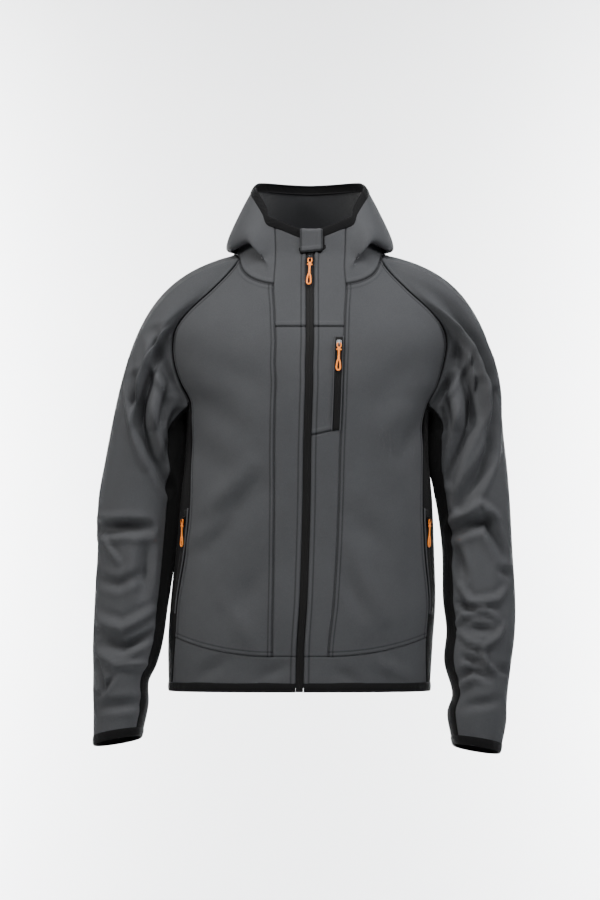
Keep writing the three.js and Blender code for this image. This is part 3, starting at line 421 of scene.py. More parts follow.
def column_angle(j):
    """The angle round the arm at which a column of the sleeve ends."""
    over = mix(UNDER_HALF_ANGLE, 360 - UNDER_HALF_ANGLE, j / CAP_COLUMNS)
    under = mix(360 - UNDER_HALF_ANGLE, 360 + UNDER_HALF_ANGLE, (j - CAP_COLUMNS) / 3)
    return np.where(j <= CAP_COLUMNS, over, under)


def sleeve_surface(word, first, last):
    """u runs across the columns from first to last, and t runs down: 0 to 1 over the cap, 1 to 2
    down the arm."""
    hand = HAND[word]

    def surface(u, t):
        j = mix(first, last, np.asarray(u, float))
        angle = column_angle(j)
        start = armhole_point(hand, j)
        top = np.full(j.shape, float(SLEEVE_TOP_Z))
        end = arm_point(word, top, angle)
        second = arm_point(word, top - 10, angle)
        chord = end - start
        reach = np.linalg.norm(chord, axis=-1, keepdims=True)
        height = np.clip(np.minimum(j, CAP_COLUMNS - j) / SEAM_COLUMNS, 0, 1)[..., None]
        behind = np.where(j >= CAP_COLUMNS - SEAM_COLUMNS, 1, 0)
        facing = np.where(j <= SEAM_COLUMNS, -1, behind)[..., None]
        swell = reach * 0.22 * np.sin(np.pi * height) * facing * np.array([0, 1, 0])
        shoulder = np.array(SHOULDER_STEP[word]) * height * reach / SHOULDER_REACH
        over = chord * 0.8 * (1 - height) + shoulder + swell
        side = reach * np.array([hand, 0, 0.1])
        under = ramp(np.sin(np.pi * np.clip((j - CAP_COLUMNS) / 3, 0, 1)), 0, 0.7)[..., None]
        leave = mix(over, side, under)
        arrive = unit(second - end) * reach * mix(1, 1.5, height)
        s = np.clip(t, 0, 1)[..., None]
        cap = hermite(s, start, leave, end, arrive)
        down = s[..., 0]
        held = fold_depth(FOLDS[word], top, angle, CAP_RADIUS) * ramp(down, 0, 1)
        push = fold_depth(FOLDS[word], cap[..., 2], angle, CAP_RADIUS) * ramp(down, 0.04, 0.3) - held
        turn = np.radians(angle)
        cap = cap + xyz(-hand * push * np.cos(turn), -push * np.sin(turn), 0)
        z = mix(SLEEVE_TOP_Z, CUFF_Z[word], np.clip(t - 1, 0, 1))
        arm = arm_point(word, z, angle)
        return np.where(np.asarray(t)[..., None] < 1, cap, arm)

    return surface


# %% [markdown]
# The hood is down. Its cloth rises from the neck seam, tucks over, falls to a lip behind the
# shoulders and comes back up to the face opening. So each station along the neck seam has a
# profile, a smooth chain through ten points whose places come from a table.

# %% The hood's table and its profiles
HOOD = curves(
    ["along", "edge", "edgeZ", "tuck", "tuckZ", "lip", "lipZ", "belly", "bellyZ"],
    [
        [0.0, 95, 50, 113, -20, 116, -24, 114, -8],
        [0.05, 97, 56, 106, 0, 120, -14, 119, 2],
        [0.1, 98, 64, 104, 18, 119, 8, 122, 22],
        [0.15, 97, 73, 104, 30, 118, 22, 124, 35],
        [0.2, 96, 82, 105, 32, 120, 24, 126, 39],
        [0.3, 96, 96, 108, 26, 125, 17, 129, 34],
        [0.4, 93, 105, 110, 22, 125, 14, 129, 32],
        [0.5, 91, 110, 109, 22, 122, 15, 127, 33],
        [0.6, 92, 114, 107, 22, 120, 14, 126, 32],
        [0.65, 95, 116, 107, 21, 127, 8, 132, 28],
        [0.7, 98, 117, 106, 20, 138, -8, 142, 14],
        [0.8, 102, 118, 104, 16, 157, -110, 166, -76],
        [1.0, 104, 116, 90, 10, 148, -158, 162, -118],
    ],
    by="along",
)
NECK_AXIS_Y = 5
HOOD_BLEND = 0.14


def neck_seam(hand, shares):
    """The neck seam of one side, from its front end, at these shares of its length."""
    u = np.linspace(0, 1, 120)
    z = neck_seam_z(u)
    front = torso_point(hand * mix(strip_angle(z), TORSO["side"](z), u), z)
    over = shoulder_neckline(hand, u)
    z = mix(BACK_NECK_Z, 0, u)
    back = torso_point(hand * mix(TORSO["rear"](z), 180, u), z)
    points = np.concatenate([front, over[1:], back[1:]])
    length = np.r_[0, np.cumsum(np.linalg.norm(np.diff(points, axis=0), axis=1))]
    along = length / length[-1]
    return np.stack([np.interp(shares, along, points[:, k]) for k in range(3)], axis=1)


def hood_surface(t, way):
    """A row of the grid is one profile, at shares t of it. The way round runs from 0 at the left
    front over 1 behind the neck to 2 at the right front."""
    way = way[:, 0]
    left = (way <= 1)[:, None]
    along = np.where(way <= 1, way, 2 - way)
    seam = np.where(left, neck_seam(1, along), neck_seam(-1, along))
    axis = np.array([TORSO["lean"](0), NECK_AXIS_Y])
    flat = seam[:, :2] - axis
    reach = np.linalg.norm(flat, axis=1)
    out = flat / reach[:, None]
    h = {key: curve(along) for key, curve in HOOD.items()}

    def place(r, z):
        return np.concatenate([axis + out * r[:, None], z[:, None]], axis=1)

    turn = h["tuck"] + np.minimum(8, (h["lip"] - h["tuck"]) / 2)
    points = [
        seam,
        place(mix(reach, h["tuck"], 0.6), mix(seam[:, 2], h["tuckZ"], 0.5)),
        place(h["tuck"], h["tuckZ"]),
        place(turn, np.maximum(h["tuckZ"], h["lipZ"]) + 3),
        place(mix(turn, h["lip"], 0.5), mix(h["tuckZ"], h["lipZ"], 0.55)),
        place(h["lip"], h["lipZ"]),
        place(mix(h["lip"], h["belly"], 0.6) + 3, h["lipZ"] + 4),
        place(h["belly"], h["bellyZ"]),
        place(mix(h["belly"], h["edge"], 0.62), mix(h["bellyZ"], h["edgeZ"], 0.66)),
        place(h["edge"], h["edgeZ"]),
    ]
    folded = smooth_chain(np.stack(points, axis=1), t)
    z = mix(NECK_SEAM_FRONT_Z, COLLAR_TOP_SEAM_Z, t)
    hand = np.where(left, 1, -1)
    start = torso_point(hand * strip_angle(NECK_SEAM_FRONT_Z), NECK_SEAM_FRONT_Z)
    plain = torso_point(hand * strip_angle(z), z) + (seam - start[:, 0])[:, None]
    return mix(plain, folded, ramp(along, 0, HOOD_BLEND)[:, None, None])


# %% [markdown]
# A sewn seam is what makes cloth look like cloth: the edges turn in, the allowance under one side
# lifts it a little, and rows of topstitching pinch it down. The grids therefore have more columns
# near each edge, and a relief worked out from the distance to the edge moves their points.

# %% Laying out a grid with fine columns along its seams
EDGE_STEPS = np.array([0, 0.5, 1.0, 1.6, 2.3, 3.1, 4.2, 5.4, 6.3, 7.0, 7.7, 8.6, 10.0])


def edge_and_middle(length, spacing):
    """Shares of a length that lie at EDGE_STEPS from both of its ends and evenly between."""
    length = np.atleast_1d(np.asarray(length, float))
    count = max(3, int(round((length.max() - 2 * EDGE_STEPS[-1]) / spacing)))
    near = EDGE_STEPS / np.maximum(length[:, None], 2.2 * EDGE_STEPS[-1])
    between = np.linspace(0, 1, count + 2)[1:-1]
    middle = mix(near[:, -1:], 1 - near[:, -1:], between)
    return np.concatenate([near, middle, 1 - near[:, ::-1]], axis=1)


def lengths(points, axis):
    """The whole length of each row or column of a grid."""
    return np.linalg.norm(np.diff(points, axis=axis), axis=-1).sum(axis=axis)


def seam_grid(surface, spacing=4.5, low=0.0, high=1.0):
    """Evaluates a surface so that its columns and rows are dense along all four edges."""
    u = np.linspace(0, 1, 41)[None, :]
    v = np.linspace(low, high, 61)[:, None]
    coarse = surface(np.broadcast_to(u, (61, 41)), np.broadcast_to(v, (61, 41)))
    height = lengths(coarse, 0).mean()
    rows = low + (high - low) * edge_and_middle(height, spacing)[0]
    widths = np.interp(rows, v[:, 0], lengths(coarse, 1))
    columns = edge_and_middle(widths, spacing)
    return surface(columns, np.broadcast_to(rows[:, None], columns.shape))


def grid_normals(points, ring=False):
    """The outward normals of a grid: the cross product of its steps across and along."""
    if ring:
        wide = np.concatenate([points[:, -1:], points, points[:, :1]], axis=1)
        return grid_normals(wide)[:, 1:-1]
    across = np.gradient(points, axis=1)
    along = np.gradient(points, axis=0)
    return unit(np.cross(across, along))


def path_lengths(points, axis):
    """The distance travelled along a grid's rows or columns, from 0."""
    steps = np.linalg.norm(np.diff(points, axis=axis), axis=-1)
    start = np.zeros_like(np.take(steps, [0], axis=axis))
    return np.cumsum(np.concatenate([start, steps], axis=axis), axis=axis)


# %% The relief of a seam, by distance from the edge
EDGE_FALL = 0.9
LAP_HEIGHT = 0.55
PINCH_DEPTH = 0.5
STITCH_NEAR = 2.0
STITCH_FAR = 7.2
STITCHED = {
    "plain": (),
    "near": (STITCH_NEAR,),
    "far": (STITCH_FAR,),
    "twin": (STITCH_NEAR, STITCH_FAR),
}
SIDES = ("first", "last", "low", "high")


def edge_relief(distance, style):
    """The edge falls away as exp(-(d/1.2)^2). A lapped edge also stands LAP_HEIGHT high over its
    allowance, and each row of stitching pinches it as exp(-((d - row)/0.8)^2)."""
    fall = -EDGE_FALL * np.exp(-((distance / 1.2) ** 2))
    if style == "plain":
        return fall
    band = LAP_HEIGHT * ramp(distance, 0.6, 2.0) * (1 - ramp(distance, STITCH_FAR, STITCH_FAR + 2.0))
    pinch = sum(np.exp(-(((distance - row) / 0.8) ** 2)) for row in STITCHED[style])
    return fall + band - PINCH_DEPTH * pinch


# %% Making one cloth piece
made = {}


def new_mesh(name, points, faces, uv=None, shade=None):
    """A mesh from arrays: points in millimetres, faces as rows of four corners."""
    mesh = bpy.data.meshes.new(name)
    corners = faces if isinstance(faces, list) else faces.tolist()
    mesh.from_pydata(np.asarray(points, float) / 1000, [], corners)
    if uv is not None:
        layer = mesh.uv_layers.new(name="cloth_mm")
        corners = np.empty(len(mesh.loops), np.int32)
        mesh.loops.foreach_get("vertex_index", corners)
        layer.data.foreach_set("uv", np.asarray(uv, np.float32)[corners].ravel())
    # A given shade is painted seam shade, stored as an attribute that darkens the cloth's colour.
    if shade is not None:
        mesh.attributes.new("seam_painted_shade", "FLOAT", "POINT").data.foreach_set(
            "value", np.asarray(shade, np.float32)
        )
    mesh.polygons.foreach_set("use_smooth", np.ones(len(mesh.polygons), bool))
    piece = bpy.data.objects.new(name, mesh)
    bpy.context.scene.collection.objects.link(piece)
    return piece


def give_wall(piece, thickness, material_step=0):
    """A wall of this thickness in millimetres, laid on inside the surface."""
    wall = piece.modifiers.new("wall", "SOLIDIFY")
    wall.thickness = thickness / 1000
    wall.offset = -1
    wall.material_offset = material_step


def grid_faces(rows, columns, closed=False):
    """Four corners for each cell of a grid, counter-clockwise seen from outside."""
    cells = columns if closed else columns - 1
    i, j = np.meshgrid(np.arange(rows - 1), np.arange(cells), indexing="ij")
    right = (j + 1) % columns
    corners = [i * columns + j, i * columns + right, (i + 1) * columns + right, (i + 1) * columns + j]
    return np.stack(corners, axis=-1).reshape(-1, 4)


def cloth_piece(name, points, materials, styles, thickness=1.6, relief=0, ring=False):
    """Turns a grid into a sewn panel: relief along its edges, a wall of real thickness, its flat
    size printed, and riding on the garment in place of the CAD node of the same name."""
    normals = grid_normals(points, ring)
    across, along = path_lengths(points, 1), path_lengths(points, 0)
    away = {
        "first": across,
        "last": across[:, -1:] - across,
        "low": along,
        "high": along[-1:] - along,
    }
    edges = SIDES[2:] if ring else SIDES
    total = sum(edge_relief(away[side], styles.get(side, "plain")) for side in edges) + relief
    # Painted seam shade: a share that darkens the colour next to every edge and along each row of
    # stitching, where the creases of a seam would lie in shadow.
    shade = sum(0.5 * np.exp(-((away[side] / 1.3) ** 2)) for side in edges)
    for side, style in styles.items():
        for row in STITCHED[style]:
            shade = shade + 0.6 * np.exp(-((away[side] - row) ** 2))
    moved = points + normals * total[..., None]
    rows, columns = points.shape[:2]
    uv = np.stack([across - across[:, -1:] / 2, along], axis=-1).reshape(-1, 2) / 1000
    faces = grid_faces(rows, columns, ring)
    piece = new_mesh(name, moved.reshape(-1, 3), faces, uv, np.clip(shade, 0, 1).ravel())
    for material in materials:
        piece.data.materials.append(material)
    give_wall(piece, thickness, len(materials) - 1)
    width, length = across[:, -1].max(), along[-1].max()
    diagonals = np.cross(points[1:, 1:] - points[:-1, :-1], points[1:, :-1] - points[:-1, 1:])
    area = 0.5 * np.linalg.norm(diagonals, axis=-1).sum()
    area = float(np.clip(area, 0.31 * width * length, width * length))
    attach(piece, "garment")
    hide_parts(name)
    made[name] = {"points": moved, "normals": normals, "away": away, "styles": styles}
    print(f"{name}: {rows} x {columns} points, cut {width:.0f} x {length:.0f} mm")
    return piece


def handed(points, hand):
    """The columns in the order that turns the grid's face outwards."""
    return points if hand > 0 else points[:, ::-1]

# %% [markdown]
# Materials come next. The shell is a bonded polyester: a plain weave about 0.4 mm between threads,
# too fine to show from here, so it is drawn at about 1 mm. It is matt, with very little gloss, and a
# little uneven in shade where it has been worn. Its back is brushed into a soft fleece.

# %% Colour and one helper for nodes
def linear(code):
    """A hex sRGB colour as linear RGBA: c/12.92 below 0.04045, else ((c+0.055)/1.055)^2.4."""
    parts = [int(code[i : i + 2], 16) / 255 for i in (1, 3, 5)]
    return (*[c / 12.92 if c <= 0.04045 else ((c + 0.055) / 1.055) ** 2.4 for c in parts], 1.0)


def add(tree, kind, settings=None, **links):
    """Adds a node, sets its named inputs and properties, and links its inputs to other sockets."""
    node = tree.nodes.new(kind)
    for key, value in (settings or {}).items():
        if key in node.inputs:
            node.inputs[key].default_value = value
        else:
            setattr(node, key, value)
    for key, source in links.items():
        tree.links.new(source, node.inputs[key.replace("_", " ")])
    return node


def new_material(name, roughness, colour="#808080", **sockets):
    """A material with its shader's uniform values set on the shader's own sockets."""
    material = bpy.data.materials.new(name)
    material.use_nodes = True
    material.diffuse_color = linear(colour)
    shader = material.node_tree.nodes["Principled BSDF"]
    shader.inputs["Base Color"].default_value = linear(colour)
    shader.inputs["Roughness"].default_value = roughness
    for key, value in sockets.items():
        shader.inputs[key.replace("_", " ")].default_value = value
    return material, material.node_tree, shader


# %% Parts that several materials share
def put(tree, socket, value):
    """Sets a socket to a number or a hex colour, or links it to another socket."""
    if isinstance(value, bpy.types.NodeSocket):
        tree.links.new(value, socket)
    else:
        socket.default_value = linear(value) if isinstance(value, str) else value


def combined(tree, operation, *values):
    """A sum or product of sockets and numbers."""
    node = add(tree, "ShaderNodeMath", {"operation": operation})
    for socket, value in zip(node.inputs, values):
        put(tree, socket, value)
    return node.outputs[0]


def tinted(tree, share, low, high):
    """The colour a share of the way from low to high."""
    node = add(tree, "ShaderNodeMix", {"data_type": "RGBA"}, Factor=share)
    put(tree, node.inputs[6], low)
    put(tree, node.inputs[7], high)
    return node.outputs[2]


def noise(tree, scale, detail, roughness=0.5):
    """Fractal noise in the object's own space, in cycles for each metre."""
    where = add(tree, "ShaderNodeTexCoord").outputs["Object"]
    settings = {"Scale": scale, "Detail": detail, "Roughness": roughness}
    return add(tree, "ShaderNodeTexNoise", settings, Vector=where).outputs["Fac"]


def spread(tree, value, low, high):
    """0 where the value is low, 1 where it is high."""
    settings = {"From Min": low, "From Max": high}
    return add(tree, "ShaderNodeMapRange", settings, Value=value).outputs["Result"]


def raised(tree, shader, height, strength, distance):
    """Fine relief for the shader, from a height."""
    node = add(tree, "ShaderNodeBump", {"Strength": strength, "Distance": distance}, Height=height)
    tree.links.new(node.outputs["Normal"], shader.inputs["Normal"])


# %% Woven and knitted cloth
# The near black of the painted shade in the creases of the seams.
PAINTED_SEAM_SHADE = "#0c0c0e"


def cloth_material(
    name, light, dark, roughness, thread_mm, knit=False, sheen=0.35, gloss=0.12, bump=0.35
):
    """Cloth with a weave of crossing waves thread_mm apart on the piece's own UV map in metres,
    a slow unevenness of tone, and painted shade darkening it at the seams' edges and stitching."""
    surface = {"Sheen_Weight": sheen, "Sheen_Roughness": 0.5, "IOR": 1.5, "Specular_IOR_Level": gloss}
    material, tree, shader = new_material(name, roughness, light, **surface)
    place = add(tree, "ShaderNodeUVMap", {"uv_map": "cloth_mm"}).outputs["UV"]
    wave = {"wave_profile": "SIN", "Scale": 1000 / thread_mm / 6.2832 * 3.1416, "Distortion": 0.6}
    warp = add(tree, "ShaderNodeTexWave", {**wave, "bands_direction": "X", "Detail": 1.0}, Vector=place)
    slant = "DIAGONAL" if knit else "Y"
    weft = add(tree, "ShaderNodeTexWave", {**wave, "bands_direction": slant}, Vector=place)
    weave = combined(tree, "MULTIPLY", warp.outputs["Fac"], weft.outputs["Fac"])
    fibres = noise(tree, 900.0, 3.0, 0.6)
    slow = noise(tree, 9.0, 3.0, 0.55)
    uneven = spread(tree, combined(tree, "MULTIPLY_ADD", slow, 0.7, fibres), 0.55, 1.15)
    # Painted shade: near the seams' edges and stitching the colour is darkened towards near black.
    painted_shade_share = add(tree, "ShaderNodeAttribute", {"attribute_name": "seam_painted_shade"}).outputs["Fac"]
    painted_shade_share = combined(tree, "MULTIPLY", painted_shade_share, 0.9)
    colour = tinted(tree, painted_shade_share, tinted(tree, uneven, dark, light), PAINTED_SEAM_SHADE)
    put(tree, shader.inputs["Base Color"], colour)
    raised(tree, shader, combined(tree, "MULTIPLY_ADD", weave, 0.6, fibres), bump, 0.0004)
    return material


SHELL = cloth_material("bonded_softshell_weave", "#464749", "#3c3d3f", 0.8, 1.0, sheen=0.0, gloss=0.14)
FLEECE = cloth_material("brushed_fleece_back", "#26272a", "#1c1d1f", 0.95, 1.6, sheen=0.4, bump=0.6)
STRETCH = cloth_material("stretch_jersey_knit", "#0e0e0f", "#090909", 0.85, 1.1, knit=True, sheen=0.03)
ELASTIC = cloth_material("woven_elastic_binding", "#0d0d0e", "#080809", 0.75, 1.4, sheen=0.03, bump=0.6)
TAPE = cloth_material("woven_zip_tape", "#141414", "#0d0d0d", 0.6, 0.9, sheen=0.05)
THREAD = cloth_material("spun_polyester_thread", "#2a2c2f", "#1f2023", 0.6, 0.5, sheen=0.1)
print("materials:", len(bpy.data.materials))

# %% Moulded and metal parts
def moulded_material():
    """Injection-moulded soft plastic: an even colour with a faint texture from the mould."""
    material, tree, shader = new_material(
        "moulded_soft_plastic", 0.42, "#ff8a22", IOR=1.46, Subsurface_Weight=0.12, Subsurface_Scale=0.002
    )
    grain = noise(tree, 1500.0, 2.0)
    put(tree, shader.inputs["Base Color"], tinted(tree, grain, "#ff8420", "#ff9436"))
    raised(tree, shader, grain, 0.15, 0.0001)
    return material


def cast_material(name, colour, worn):
    """Die-cast zinc under lacquer or plating, worn brighter in small scattered spots."""
    material, tree, shader = new_material(name, 0.34, colour, Metallic=0.9)
    spots = spread(tree, noise(tree, 700.0, 3.0), 0.52, 0.75)
    put(tree, shader.inputs["Base Color"], tinted(tree, spots, colour, worn))
    return material


PLASTIC = moulded_material()
BLACK_METAL = cast_material("lacquered_zinc", "#1d1d1f", "#4c4c50")
PLATED_METAL = cast_material("plated_zinc", "#8d8f93", "#c2c4c8")

# %% [markdown]
# The body pieces. On the real jacket the front panels run from the curved hem seam right up to the
# neck, between the long seam beside the zip and the side panel. Their edges are lapped over the
# neighbours and topstitched, so their relief is the raised kind.

# %% Soft drags and swells across the body
# From a place on the body (x, z) to another, then the width and the depth
FRONT_DRAGS = [
    [-142, -378, -84, -316, 17, 7.5],
    [-170, -432, -120, -392, 14, 5.0],
    [-78, -350, -150, -440, 20, -5.5],
    [-60, -470, -110, -540, 22, -5.0],
    [-70, -600, -120, -520, 16, 3.2],
    [-165, -150, -60, -200, 26, -4.2],
    [-180, -205, -95, -262, 22, -4.5],
    [178, -198, 120, -262, 22, 4.6],
    [186, -236, 148, -300, 15, -5.0],
    [168, -160, 110, -208, 26, -3.6],
    [-190, -260, -120, -330, 22, -2.9],
    [66, -430, 120, -545, 12, 3.6],
    [74, -390, 118, -440, 18, -3.6],
    [60, -480, 88, -540, 11, -4.0],
    [-160, -636, -124, -612, 12, -4.0],
    [-64, -634, -32, -618, 10, -3.4],
    [112, -612, 152, -634, 11, 3.6],
    [50, -628, 76, -640, 10, -3.2],
    [-30, -560, -150, -560, 40, 2.4],
    [60, -560, 160, -540, 40, 2.4],
]
BACK_DRAGS = [
    [-150, -200, -60, -290, 26, -2.4],
    [150, -200, 60, -290, 26, -2.4],
    [-120, -420, 20, -470, 24, 2.6],
    [130, -440, -10, -500, 26, 2.4],
    [-150, -330, -40, -370, 22, -2.0],
    [150, -350, 50, -400, 22, -2.0],
    [-80, -560, 90, -580, 30, 1.8],
]


def drag_depth(points, drags):
    """The sum over drags of depth times exp(-(distance from its line in x and z / width)^2)."""
    x, z = points[..., 0], points[..., 2]
    depth = np.zeros(x.shape)
    for x0, z0, x1, z1, width, high in drags:
        dx, dz = x1 - x0, z1 - z0
        share = np.clip(((x - x0) * dx + (z - z0) * dz) / (dx * dx + dz * dz), 0, 1)
        away = np.hypot(x - x0 - share * dx, z - z0 - share * dz) / width
        depth += high * np.exp(-away * away) * (0.5 + 0.5 * np.sin(np.pi * share))
    return depth


def level(z):
    """A seam at one height, as a function of the angle and the share across."""
    return lambda angle, share: np.full(np.shape(angle), float(z))


def by_share(height):
    """A seam whose height depends only on the share across the panel."""
    return lambda angle, share: height(share)


def flat_panel(hand, start, end, low, high):
    """The grid of a torso panel on one side, facing outwards."""
    return handed(seam_grid(torso_panel(hand, start, end, low, high)), hand)


def shell_piece(name, points, styles, drags=()):
    """A piece of the shell, with the drags that cross it as relief."""
    relief = drag_depth(points, drags)
    cloth_piece(name, points, SHELL_PAIR, styles, relief=relief)


# %% Front, side and hem pieces of both halves
SHELL_PAIR = [SHELL, FLEECE]
STRETCH_PAIR = [STRETCH, STRETCH]
side_angle, rear_angle = TORSO["side"], TORSO["rear"]


def pocket_seam_z(angle, share):
    """The seam under the chest pocket rises from the zip to the long seam."""
    return mix(-269.0, -259.0, share)


for word, hand in HAND.items():
    points = flat_panel(hand, strip_angle, side_angle, curved_seam_z, by_share(neck_seam_z))
    front_styles = {"first": "twin", "last": "twin", "low": "far", "high": "near"}
    shell_piece(f"front_panel_{word}", points, front_styles, FRONT_DRAGS)
    points = flat_panel(hand, side_angle, rear_angle, hem_seam_z, level(UNDERARM_Z))
    cloth_piece(f"side_panel_{word}", points, STRETCH_PAIR, {})
    zip_side = {"first" if hand > 0 else "last": "far"}
    points = flat_panel(hand, zip_angle, side_angle, hem_seam_z, curved_seam_z)
    shell_piece(f"hem_piece_{word}", points, {**zip_side, "high": "plain"}, FRONT_DRAGS)
    strip_top = level(YOKE_SEAM_Z)
    if word == "left":
        points = flat_panel(hand, zip_angle, strip_angle, pocket_seam_z, strip_top)
        shell_piece("chest_pocket_panel", points, {**zip_side, "low": "near"})
        strip_top = pocket_seam_z
    points = flat_panel(hand, zip_angle, strip_angle, curved_seam_z, strip_top)
    shell_piece(f"front_strip_{word}", points, zip_side, FRONT_DRAGS)
    points = flat_panel(hand, zip_angle, strip_angle, level(YOKE_SEAM_Z), by_share(collar_top_z))
    shell_piece(f"neck_panel_{word}", points, {**zip_side, "low": "near"})


# %% The back
def whole_back(u, v):
    """The back panel runs from the left back seam round to the right one."""
    side = np.abs(1 - 2 * u)
    hand = np.where(u < 0.5, 1, -1)
    angle = mix(180, 112, side)
    for _ in range(5):
        z = mix(hem_seam_z(angle), mix(0, BACK_NECK_Z, side), v)
        angle = mix(180, TORSO["rear"](z), side)
    return torso_point(hand * angle, z)


points = seam_grid(whole_back, spacing=5.0)
shell_piece("back_panel", points, {"first": "twin", "last": "twin", "high": "near"}, BACK_DRAGS)

# %% [markdown]
# Each sleeve is a grey outer piece and a black stretch piece along its inside. The stretch piece
# starts at the top of the side panel, so the two form one black stripe from hem to cuff.

# %% Sleeves
for word, hand in HAND.items():
    over = seam_grid(sleeve_surface(word, 0, CAP_COLUMNS), spacing=4.2, high=2.0)
    styles = {"low": "near", "first": "plain", "last": "plain"}
    shell_piece(f"sleeve_{word}", handed(over, -hand), styles)
    under = seam_grid(sleeve_surface(word, CAP_COLUMNS, LOOP_COLUMNS), spacing=4.2, high=2.0)
    cloth_piece(f"under_sleeve_{word}", handed(under, -hand), STRETCH_PAIR, {})

# %% [markdown]
# The hood is three pieces: two sides that start at the front strips and a middle that goes over
# the head. Their seams divide one surface, so the three pieces meet.

# %% The hood's three pieces
HOOD_SIDE_SHARE = 0.62
for name, start, end in (
    ("hood_side_left", 0, HOOD_SIDE_SHARE),
    ("hood_middle", HOOD_SIDE_SHARE, 2 - HOOD_SIDE_SHARE),
    ("hood_side_right", 2 - HOOD_SIDE_SHARE, 2),
):
    points = np.swapaxes(seam_grid(hood_surface, spacing=3.6, low=start, high=end), 0, 1)
    styles = {"low": "near"}
    if start > 0:
        styles["first"] = "near"
    if end < 2:
        styles["last"] = "near"
    cloth_piece(name, points, SHELL_PAIR, styles)

# %% [markdown]
# Elastic binding is folded over the raw edges of the hood, the hem and the cuffs. It is 12 mm wide,
# stands a little proud of the cloth, and draws it in.

# %% Bindings
BINDING_PROUD = 0.5
PUCKER_LENGTHS = (11, 17.3)
OVERLAP = 2.5
SEAM_GAP = 0.3
SMOOTHING_ROUNDS = 14


def binding_piece(name, points, ring=False):
    """A band with rounded edges, a soft bulge across it and slight puckers along it."""
    points = points + grid_normals(points, ring) * BINDING_PROUD
    across, along = path_lengths(points, 1), path_lengths(points, 0)
    bulge = 0.5 * np.sin(np.pi * along / along[-1:])
    short, long = (2 * np.pi * across / length for length in PUCKER_LENGTHS)
    wobble = np.sin(short) + 0.6 * np.sin(long + 1.1)
    relief = bulge + 0.14 * wobble * np.sin(np.pi * along / along[-1:])
    print(f"binding {along[-1:].mean():.1f} mm wide")
    pair = [ELASTIC, ELASTIC]
    cloth_piece(name, points, pair, {}, thickness=2.4, relief=relief, ring=ring)


def hem_band(u, v):
    """From the left front edge round the back to the right one, hanging from the hem seam."""
    way = 1 - 2 * u
    angle = mix(zip_angle(-645), 180, 1 - np.abs(way))
    seam = torso_point(np.where(way >= 0, 1, -1) * angle, hem_seam_z(angle))
    return seam - xyz(0, 0, mix(SEAM_GAP + BINDING, -OVERLAP, v))


binding_piece("hem_binding", seam_grid(hem_band, spacing=3.5))

for word, hand in HAND.items():
    end_of_sleeve = sleeve_surface(word, 0, LOOP_COLUMNS)
    u = np.linspace(0, 1, 110, endpoint=False)[None, :]
    before = end_of_sleeve(u, np.full(u.shape, 2 - 1 / 24))
    end = end_of_sleeve(u, np.full(u.shape, 2.0))
    down = edge_and_middle([BINDING], 2.5)[0][::-1, None, None]
    band = end + unit(end - before) * mix(-OVERLAP, SEAM_GAP + BINDING, down)
    binding_piece(f"cuff_binding_{word}", handed(band, hand), ring=True)


def zip_top_edge(hand, share):
    """The top edge of a neck panel from the zip to its seam, and the height just below it."""
    top = collar_top_z(share)
    return [torso_point(hand * mix(zip_angle(z), strip_angle(z), share), z) for z in (top, top - 8)]


# The binding of the face opening: along one neck panel's top, round the hood, along the other top
share = np.linspace(0, 1, 16)
left_edge, left_below = zip_top_edge(1, share)
right_edge, right_below = zip_top_edge(-1, share[::-1])
way = np.linspace(0, 2, 300)[:, None]
rim = hood_surface(np.broadcast_to([1.0, 14 / 15], (300, 2)), np.broadcast_to(way, (300, 2)))
edge = np.concatenate([left_edge[:-1], rim[:, 0], right_edge[1:]])
below = np.concatenate([left_below[:-1], rim[:, 1], right_below[1:]])
outward = unit(edge - below)
for _ in range(SMOOTHING_ROUNDS):
    outward[1:-1] = unit(outward[:-2] + 2 * outward[1:-1] + outward[2:])
    edge[1:-1] = (edge[:-2] + 2 * edge[1:-1] + edge[2:]) / 4
up = edge_and_middle([BINDING], 2.5)[0][:, None, None]
binding_piece("hood_binding", edge + outward * mix(-OVERLAP, 2 * SEAM_GAP + BINDING, up))

# %% [markdown]
# The zips are the reversed kind: the coil is behind, and from outside there are two smooth tapes
# that meet in a fine groove. Where the cloth's edge lies on a tape there is a narrow dark gap, and
# painted shade darkens the edges of the cloth and of the tapes beside it.

# %% Zips
TAPE_LIFT = 1.5
ZIP_TOP_Z = 14
CHEST_ZIP_Z = (-261, -120)
SIDE_ZIP_Z = (-540.0, -382.0)
CHEST_ZIP_WIDTH = 11
COIL_PITCH = 1.9


def away_from_axis(points, z, share):
    """The level direction out of the torso at these points, weighted by share in x, y and z."""
    return unit((points - xyz(TORSO["lean"](z), 0, z)) * share)


def band_on_torso(low, high, edges, lift):
    """A surface that lies on the torso between two sideways places, raised by a lift."""

    def surface(u, v):
        z = mix(float(low), float(high), v)
        start, end = edges(z)
        flat = torso_point(angle_across(mix(start, end, u), z), z)
        return flat + away_from_axis(flat, z, [0.4, 1, 0]) * lift

    return surface


def zip_piece(name, surface):
    """Two tapes with a groove where they meet, and the coil behind showing as faint ribs."""
    points = seam_grid(surface, spacing=1.1)
    across, along = path_lengths(points, 1), path_lengths(points, 0)
    middle = across - across[:, -1:] / 2
    relief = 0.25 * np.exp(-((middle / 2.6) ** 4)) - 0.6 * np.exp(-((middle / 0.5) ** 2))
    relief += 0.07 * np.sin(2 * np.pi * along / COIL_PITCH) * np.exp(-((middle / 2.8) ** 4))
    cloth_piece(name, points, [TAPE, TAPE], {}, thickness=1.1, relief=relief)


def main_edges(z):
    """The two edges of the main zip, measured across the body."""
    half = np.full(np.shape(z), ZIP_WIDTH / 2 - SEAM_GAP)
    return -half, half


